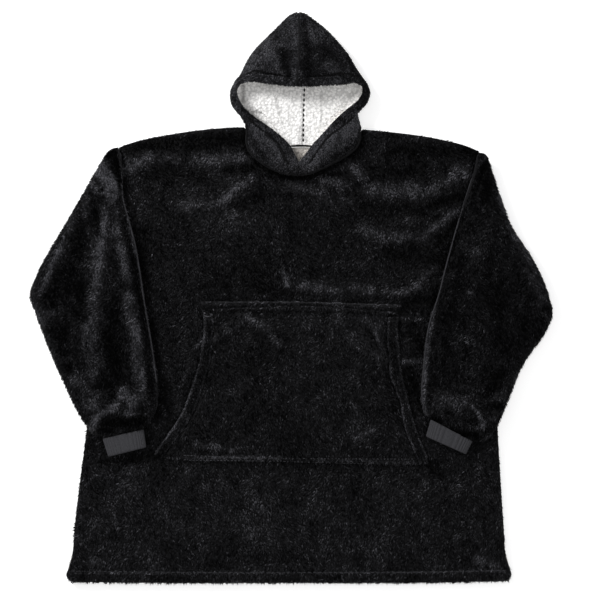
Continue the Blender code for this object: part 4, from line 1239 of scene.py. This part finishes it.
# Columns: name, lines, pieces under them, bar, gap, width, height, material, reach to each side, foot.
SEWING = [
    ("brim_stitches", BRIM_STITCHES, hood_halves, 7, 1.5, 2.6, 0.9, DARK_THREAD),
    ("pocket_foot_stitches", POCKET_STITCHES, [pouch], 5, 2, 1.6, 1.2, THREAD),
    ("pocket_cross_stitches", CROSS_STITCHES, [pouch, *bindings], 30, 0, 2.2, 1.6, THREAD),
    ("pocket_band_stitches", [BAND_STITCH], [pouch], 6, 2, 1.6, 0.8, DARK_THREAD),
    # The hem's light line is a painted highlight on its ridge.
    ("hem_stitches", [HEM_STITCH], [front], 9, 1.5, 2.4, 1.6, HIGHLIGHT_PILE),
    ("lining_seam", [LINING_SEAM], [lining_left, lining_right], 7, 3, 3.4, 1.6, DARK_THREAD),
    ("hood_crown_seam", [CROWN_LINE], hood_halves, 200, 0, 6.5, 2.2, CROWN_CLOTH, 5),
    (
        "hood_neck_seam", [HOOD_NECK_LEFT[1:], HOOD_NECK_RIGHT[2:]], [front, *hood_halves],
        400, 0, 4.0, 2.0, DARK_THREAD, 3,
    ),
    (
        "hood_neck_wall", [HOOD_NECK_LEFT[1:], HOOD_NECK_RIGHT[1:]], hood_halves,
        400, 0, 5.0, -1.0, CROWN_CLOTH, 3, 12.5,
    ),
    ("armhole_walls", ARMHOLES, [front, sleeve_left, sleeve_right], 400, 0, 6.5, 0.6, CROWN_CLOTH, 4, 4.0),
    # The sleeve seams' light lines are painted highlights on their ridges.
    ("sleeve_seams", SLEEVE_SEAMS, [sleeve_left, sleeve_right], 700, 0, 3.4, 2.2, HIGHLIGHT_PILE, 2.5),
    ("neck_seam", [NECK_SEAM], [back, lining_left, lining_right], 60, 0, 3.6, 2.0, DARK_THREAD, 2),
]
threads = [stitches(*row) for row in SEWING]

# Columns: piece, the node that it stands for, its cut's width and length, area, and what it rests on.
CLOTH = [
    (front, "body_front", (0.89, 0.95), 0.71, ["body_back"]),
    (back, "body_back", (0.89, 0.95), 0.71, []),
    (sleeve_left, "sleeve_left", (0.26, 0.58), 0.115, ["body_front"]),
    (sleeve_right, "sleeve_right", (0.26, 0.58), 0.11, ["body_front"]),
    (cuff_left, "cuff_left", (0.18, 0.04), 0.0068, ["body_front"]),
    (cuff_right, "cuff_right", (0.19, 0.033), 0.0061, ["body_front"]),
    (pouch, "pocket", (0.51, 0.33), 0.128, ["body_front"]),
    (binding_left, "pocket_binding_left", (0.02, 0.30), 0.0058, ["body_front"]),
    (binding_right, "pocket_binding_right", (0.02, 0.30), 0.0058, ["body_front"]),
    (hood_left, "hood_left", (0.28, 0.33), 0.05, ["body_front"]),
    (hood_right, "hood_right", (0.28, 0.33), 0.05, ["body_front"]),
    (lining_left, "hood_lining_left", (0.28, 0.28), 0.04, ["hood_left"]),
    (lining_right, "hood_lining_right", (0.28, 0.28), 0.04, ["hood_right"]),
]
for piece, node, flat, area, under in CLOTH:
    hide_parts(node)


def studio():
    """A white floor, soft light from above and a key from the upper left, and a camera straight above."""
    bpy.ops.mesh.primitive_plane_add(size=12, location=(0, 0, -0.0008))
    floor = bpy.context.object
    floor.name = "floor"
    material, _, _, shader = nodes_of("floor")
    shader.inputs["Base Color"].default_value = (0.8, 0.8, 0.8, 1)
    shader.inputs["Roughness"].default_value = 0.9
    shader.inputs["Emission Color"].default_value = (1, 1, 1, 1)
    shader.inputs["Emission Strength"].default_value = 0.55
    floor.data.materials.append(material)
    world = bpy.data.worlds.new("studio")
    bpy.context.scene.world = world
    world.use_nodes = True
    world.node_tree.nodes["Background"].inputs["Color"].default_value = (1, 1, 1, 1)
    world.node_tree.nodes["Background"].inputs["Strength"].default_value = 0.5
    # Columns: name, place, size, power.
    lamps = [
        ("key", (-2.1, 1.9, 1.5), 0.9, 110),
        ("fill", (2.0, -0.8, 2.4), 2.0, 14),
    ]
    for name, place, size, power in lamps:
        data = bpy.data.lights.new(name, "AREA")
        data.energy = power
        data.size = size
        lamp = bpy.data.objects.new(name, data)
        lamp.location = place
        lamp.rotation_euler = (-Vector(place)).to_track_quat("-Z", "Y").to_euler()
        bpy.context.scene.collection.objects.link(lamp)
    data = bpy.data.cameras.new("camera")
    data.lens = 120
    camera = bpy.data.objects.new("camera", data)
    camera.location = (0.0165, -0.0038, 4.015)
    bpy.context.scene.collection.objects.link(camera)
    bpy.context.scene.camera = camera
    bpy.context.scene.view_settings.view_transform = "Standard"


studio()
